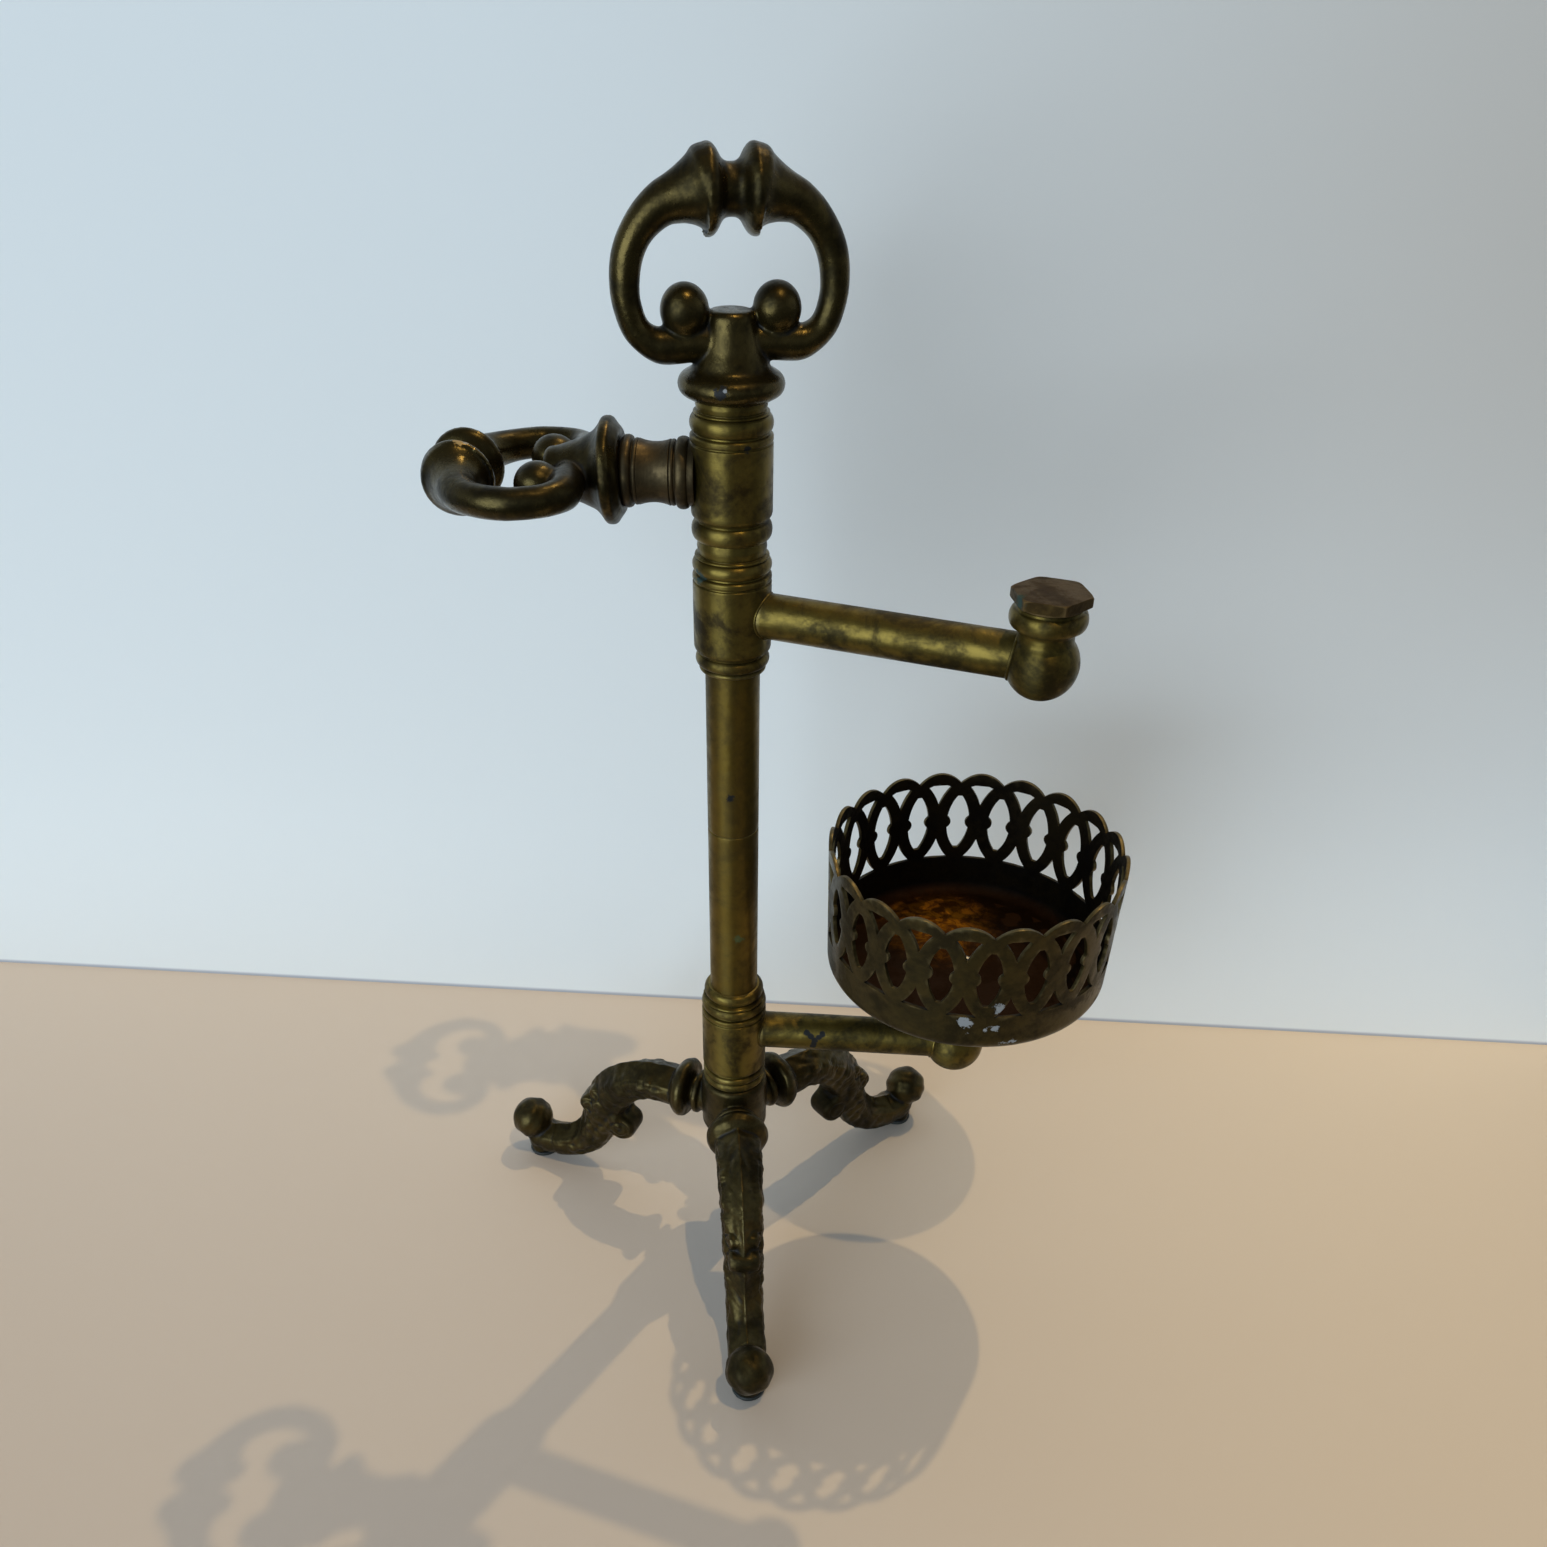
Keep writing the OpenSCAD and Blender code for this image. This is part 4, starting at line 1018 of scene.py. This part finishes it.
# Upper sleeve and arm
# The same turned sleeve, capped inside so that it sits on the column's top, with a longer arm.
# Its socket is stopped by a loose six-sided plug.
upper_cap = levels("upper_column_tube")[1] - levels("upper_sleeve")[0]
turned_sleeve("upper_sleeve", "upper_arm",
              [(0.05, 2.0, groove_r - 1.6, groove_r - 0.1), (2.1, 5.5, groove_r - 0.4, sleeve_r - 0.4)],
              [(5.0, 1.1, groove_r - 0.1, sleeve_r), (1.0, 0.05, groove_r - 0.3, sleeve_r - 0.7)],
              rod_bore, (rod_bore, upper_cap), (column_bore, upper_cap))
upper_end = swing_arm("upper", 88.8, -22.0, 243.6)

plug_af, plug_h = 19.0, 3.8
plug_half = plug_af / 2
plug_place = upper_end @ moved_to(0, 0, socket_rise)
plug_outline = eased([
    (0, 0.6), (8.4, 0.6), (9.0, 0.75), (plug_half + 1.7, 1.0), (plug_half + 1.7, plug_h - 0.35),
    (plug_half + 1.0, plug_h - 0.05), (plug_half - 1.5, plug_h), (0, plug_h - 0.1)], 0.25)
shank = [(0, 1 - socket_depth), (plug_r - 0.4, 1 - socket_depth), (plug_r, 1.5 - socket_depth),
         (plug_r, 0.4), (8.6, 0.0), (8.6, 0.8), (0, 0.8)]
plug = new_piece("socket_plug_hex", [
    moved(lathed(close_set(plug_outline, 0.7), 144, across=plug_af, corner=34), plug_place),
    moved(lathed(close_set(shank, 0.8), 96), plug_place)])
plug_stain = tuple(plug_place.translation + Vector((-9.5, -4, 1.5)))
plug_brass = old_metal(
    "plug_brass", ((0.032, 0.019, 0.006), (0.076, 0.046, 0.012), (0.12, 0.075, 0.028),
                   (0.008, 0.006, 0.003)),
    green=0.5, metallic=0.6, sheen=0.1, rough=(0.45, 0.65), grain=800, bump=0.5,
    stains=[(plug_stain, 2.8, 0.8, teal)])
finish_piece(plug, plug_brass, "plug", "socket_plug", 0.3, 10)


# Spacer and neck rings
# Two plain turned rings on the tie rod, one under the brush collar and one over it.
for node, outer in (("spacer_ring", 9.7), ("neck_ring", 9.5)):
    low, high = levels(node)
    outline = eased([(rod_bore, low), (outer - 0.3, low), (outer, (low + high) / 2),
                     (outer - 0.3, high), (rod_bore, high)], 0.3)
    ring = new_piece(node + "_turned", [lathed(close_set(outline, 0.5), closed=True)])
    finish_piece(ring, turned_brass, "base", node, 0.3, 6)


# Brush collar and spigot
# A turned collar that swings on the tie rod. A cast spigot, turned with a waist between two pairs
# of beads, stands out of its side and carries the brush loop on a hidden stud.
turned_sleeve("brush_collar", "brush_holder", [(0.05, 4.9, groove_r, sleeve_r)],
              [(5.4, 1.0, groove_r - 0.1, sleeve_r), (0.95, 0.05, groove_r - 0.6, sleeve_r - 1.0)],
              rod_bore, (rod_bore, 0))
spigot_l, spigot_r, spigot_root = 18.0, 9.3, 4
spigot_in, spigot_end = spigot_r - 0.9, spigot_root + spigot_l
collar_low, collar_high = levels("brush_collar")
brush_z = (collar_low + collar_high) / 2
brush_place = moved_to(0, 0, brush_z) @ spun(180 - 5)
spigot_outline = (
    [(0, 2.4), (spigot_in, 2.4)] + bead(4.2, 7.4, spigot_in, spigot_r) + [(spigot_r - 1.3, 7.6)]
    + bead(7.8, 9.0, spigot_r - 1.2, spigot_r - 0.8, 6)
    + arc(spigot_r + 10.2, spigot_root + spigot_l / 2 + 0.4, 11.8, 201, 159)
    + bead(spigot_l - 0.4, spigot_l + 0.8, spigot_r - 1.2, spigot_r - 0.8, 6)
    + [(spigot_r - 1.3, spigot_l + 1.0)] + bead(spigot_l + 1.2, spigot_l + 3.9, spigot_in, spigot_r)
    + [(spigot_in, spigot_end), (0, spigot_end)])
spigot = new_piece("brush_spigot_turned", [
    moved(lathed(close_set(eased(spigot_outline, 0.15), 0.6), 112),
          brush_place @ moved_to(sleeve_r - spigot_root, 0, 0) @ along_x)])
dull_bronze = old_metal(
    "dull_bronze", ((0.036, 0.026, 0.012), (0.088, 0.062, 0.028), bronze_rubbed, bronze_dirt_and_shade),
    green=0.3, rough=(0.38, 0.55), waves=0.2, metallic=0.85, lines=(0.0, math.radians(90), 0.0))
finish_piece(spigot, dull_bronze, "brush_holder", "brush_spigot", 0.4, 8)


# Brush loop and top handle
# Two castings of one kind: a base ring and a tapered stub, a rod that curls up from two ball knobs
# into a loop, and twin trumpet flanges at its crown. One stands up as the handle, the other lies
# flat to hold a shaving brush by its neck.
loop_w, loop_t = 26.3, 3.65
loop_base_r, loop_base_half = 13.8, 3.5
knob_x, knob_z, knob_r = 11.7, 17.7, 6.15
round_section = [(math.sin(a), math.cos(a)) for a in round_angles(28)]


def loop_half(h):
    """Right half of a loop of a height, as rows of (x, z, half thickness, half width)."""
    w, t = loop_w, loop_t
    bent = [(-0.4, 9.6, 0.7, 0.9), (8, 9.8, 0.8, 1), (14, 9.5, 0.9, 1.1), (17.4, 9.4, 0.8, 1),
            (w - 6.6, 10, 0.4, 0.8), (w - 4.1, 11.5, 0, 0.6), (w - 2.1, 13.8, -0.1, 0.5),
            (w - 0.8, 17.2, -0.1, 0.5), (w, 21.6, 0, 0.5), (w - 0.3, h - 16.4, 0.2, 0.6),
            (w - 1.4, h - 12.3, 0.3, 0.6), (w - 3.4, h - 8.6, 0.4, 0.7), (w - 6.3, h - 5.3, 0.8, 1),
            (w - 9.7, h - 2.8, 1.3, 1.5), (13.4, h - 1.6, 2.0, 2.2)]
    trumpet = [(11, 0.9, 6.6, 6.7), (9.4, 0.5, 7.5, 7.5), (8, 0.2, 8.6, 8.6)]
    crown = [(7, 9.5), (6.2, 10), (5.3, 10), (4.5, 9.6), (3.8, 8.9), (3.2, 8), (2.7, 7.1), (2.1, 6.4),
             (1.2, 5.9), (-0.4, 5.8)]
    return ([(x, z, t + more, t + wider) for x, z, more, wider in bent]
            + [(x, h - drop, thick, wide) for x, drop, thick, wide in trumpet]
            + [(x, h, r, r) for x, r in crown])


torus_rim = arc(loop_base_r - 2.9, 0, 3, -80, 70)
disc_rim = eased([(loop_base_r - 3, -3.4), (loop_base_r - 1.2, -1.9), (loop_base_r, -1.2),
                  (loop_base_r, 1.2), (loop_base_r - 1.4, 1.9), (loop_base_r - 3.2, 3.4)], 0.7)


def loop_casting(node, body, height, bore_r, bore_top, rim, place, name, middle, rubbed, stains,
                 green=0.3):
    """Casts and finishes one loop, in bronze that hands have kept smoother than the legs."""
    base = ([(bore_r, -loop_base_half), (loop_base_r - 3, -loop_base_half)] + rim
            + [(loop_base_r - 3.4, 3.7), (10, 4.1), (8.2, 8), (6.6, 13.4), (6.2, 16.2), (5.2, 17.3),
               (0, 17.5), (0, bore_top), (bore_r, bore_top)])
    rod = smooth_path(loop_half(height), 6)
    left = rod * np.array([-1, 1, 1, 1])
    knob = [(0, 8.5), (4, 8.5), (4.2, 12), (4.5, knob_z), (0, knob_z)]
    solids = [lathed(base, 112, closed=True), swept(rod, round_section), swept(left, round_section)]
    for side in (-knob_x, knob_x):
        egg = moved(ball(0, 0, 0, knob_r), Matrix.Diagonal((1, 1, 1.05, 1)))
        solids += [moved(egg, moved_to(side, 0, knob_z - 0.4)),
                   moved(lathed(knob, 48), moved_to(side, 0, 0))]
    casting = cast_in_one(node + "_casting", [moved(s, place) for s in solids], grain=0.42, passes=4)
    bronze = old_metal(name, (bronze_dark, middle, rubbed, bronze_dirt_and_shade), green, rough=(0.24, 0.40),
                       grain=900, bump=0.35, metallic=0.88, waves=0.3, stains=stains)
    finish_piece(casting, bronze, body, node, 0.5, 26)


brush_end = brush_place @ moved_to(sleeve_r + spigot_l + loop_base_half, 0, 0)
droop = spun(2.4, "Y") @ spun(-1, "X")
loop_casting("brush_loop", "brush_holder", 40.2, 2.5, 5.5, disc_rim,
             brush_end @ droop @ along_x @ spun(90), "brush_bronze", bronze_middle, (0.30, 0.20, 0.075),
             [((-71.5, 0.8, brush_z + 8.8), 2.4, 0.8, (0.36, 0.24, 0.09)),
              ((-69.5, 0.2, brush_z + 8.2), 1.1, 0.6, (0.34, 0.30, 0.24))], 0.35)
handle_z = levels("top_handle")[0] + loop_base_half
loop_casting("top_handle", "base", 43.3, rod_bore, 6.0, torus_rim,
             moved_to(0, 0, handle_z) @ spun(10), "handle_bronze", (0.080, 0.057, 0.017), bronze_rubbed,
             [((-2.6, -13.4, handle_z + 0.6), 1.7, 0.8, soot),
              ((-1.6, -13.6, handle_z + 1.2), 0.6, 0.5, old_white)])


# Stage, lamps and camera
# A pale floor and a pale wall behind it, soft light from the left front and from the right back,
# and the camera at the photograph's angle.
scene = bpy.context.scene
camera_data = set_all(bpy.data.cameras.new("camera"), lens=30.98, shift_y=0.1205)
scene.camera = new_object("camera", camera_data)
scene.camera.matrix_world = (moved_to(0, -0.36265, 0.38985) @ spun(-2.13) @ spun(90 - 36.66, "X")
                             @ spun(1.04))

wall_foot = moved_to(-0.0632, 0.1343, 0) @ spun(-5.4)
stage_reach, wall_h, floor_depth = 0.46, 0.5, 0.36


def stage_plane(name, corners, first, second, foot, rough, across, rise):
    """A painted plane whose colour drifts over its width and height as painted light and shade. One
    with a foot line, a painted shadow along its bottom, is a wall, and shows from its front only."""
    mesh = bpy.data.meshes.new(name)
    mesh.from_pydata([wall_foot @ Vector(c) for c in corners], [], [(0, 1, 2, 3)])
    plane = new_object(name, mesh)
    material, shader, place = new_material(name)
    tree = material.node_tree
    split = add_node(tree, "ShaderNodeSeparateXYZ", {0: place}).node.outputs
    # Painted light and shade: the colour turns to the second one towards the right and the top.
    painted_light_drift = times(ranged(split["X"], *across), ranged(split["Z"], *rise))
    colour = mixed(painted_light_drift, first, second)
    if foot:
        # A painted shadow along the foot of the wall.
        colour = mixed(ranged(split["Z"], 0.0004, 0.0024, 1.0, 0.0), colour, foot)
        back = add_node(tree, "ShaderNodeNewGeometry", output="Backfacing")
        one_sided = add_node(tree, "ShaderNodeMixShader", {
            0: back, 1: shader.outputs[0], 2: add_node(tree, "ShaderNodeBsdfTransparent")})
        feed(tree.nodes["Material Output"].inputs["Surface"], one_sided)
    feed_all(shader, {"Base Color": colour, "Roughness": rough})
    paint(mesh, material)
    return plane


# The floor turns lighter and warmer towards the right, as painted light.
stage_plane("floor", ((-stage_reach, 0, 0), (-stage_reach, -floor_depth, 0),
                      (stage_reach, -floor_depth, 0), (stage_reach, 0, 0)),
            (0.60, 0.52, 0.445), (0.72, 0.60, 0.46), None, 0.55, (-0.1, 0.34), (-0.2, -0.1))
# The wall turns darker towards the top right, as painted shade, with a painted shadow along its foot.
wall = stage_plane("wall", ((-stage_reach, 0, 0), (stage_reach, 0, 0), (stage_reach, 0, wall_h),
                            (-stage_reach, 0, wall_h)),
                   (0.84, 0.88, 0.87), (0.62, 0.575, 0.51), (0.42, 0.45, 0.50), 0.8, (-0.1, 0.35),
                   (0.02, 0.35))
wall.visible_shadow = False


def lamp(name, place, target, size, watts, colour):
    data = bpy.data.lights.new(name, "AREA")
    light = new_object(name, set_all(data, shape="DISK", size=size, energy=watts, color=colour))
    light.location = place
    light.rotation_euler = (Vector(target) - Vector(place)).to_track_quat("-Z", "Y").to_euler()


lamp("window_left", (-1.90, -2.45, 0.80), (0, 0, 0.15), 3.0, 90, (0.72, 0.86, 1.0))
bulb_aim, bulb_size, bulb_light = (0.05, 0, 0.1), 0.062, (1.0, 0.74, 0.38)
lamp("ceiling_back", (1.25, 1.72, 4.1), bulb_aim, bulb_size, 45, bulb_light)
lamp("ceiling_front", (0.88, -1.08, 4.1), bulb_aim, bulb_size, 36, bulb_light)

scene.world = bpy.data.worlds.new("room")
scene.world.use_nodes = True
room = scene.world.node_tree
way = add_node(room, "ShaderNodeTexCoord", output="Generated")
toward = add_node(room, "ShaderNodeSeparateXYZ", {0: way}).node.outputs
strength = times(ranged(toward["Z"], -0.15, 0.1, 0.12, 0.52), ranged(toward["Z"], 0.3, 0.8, 1.0, 0.4))
strength = times(strength, ranged(toward["Y"], -0.8, 0.2, 0.5, 1.0))
feed_all(room.nodes["Background"], {"Color": (0.72, 0.84, 1.0), "Strength": strength})
scene.view_settings.view_transform = "Standard"
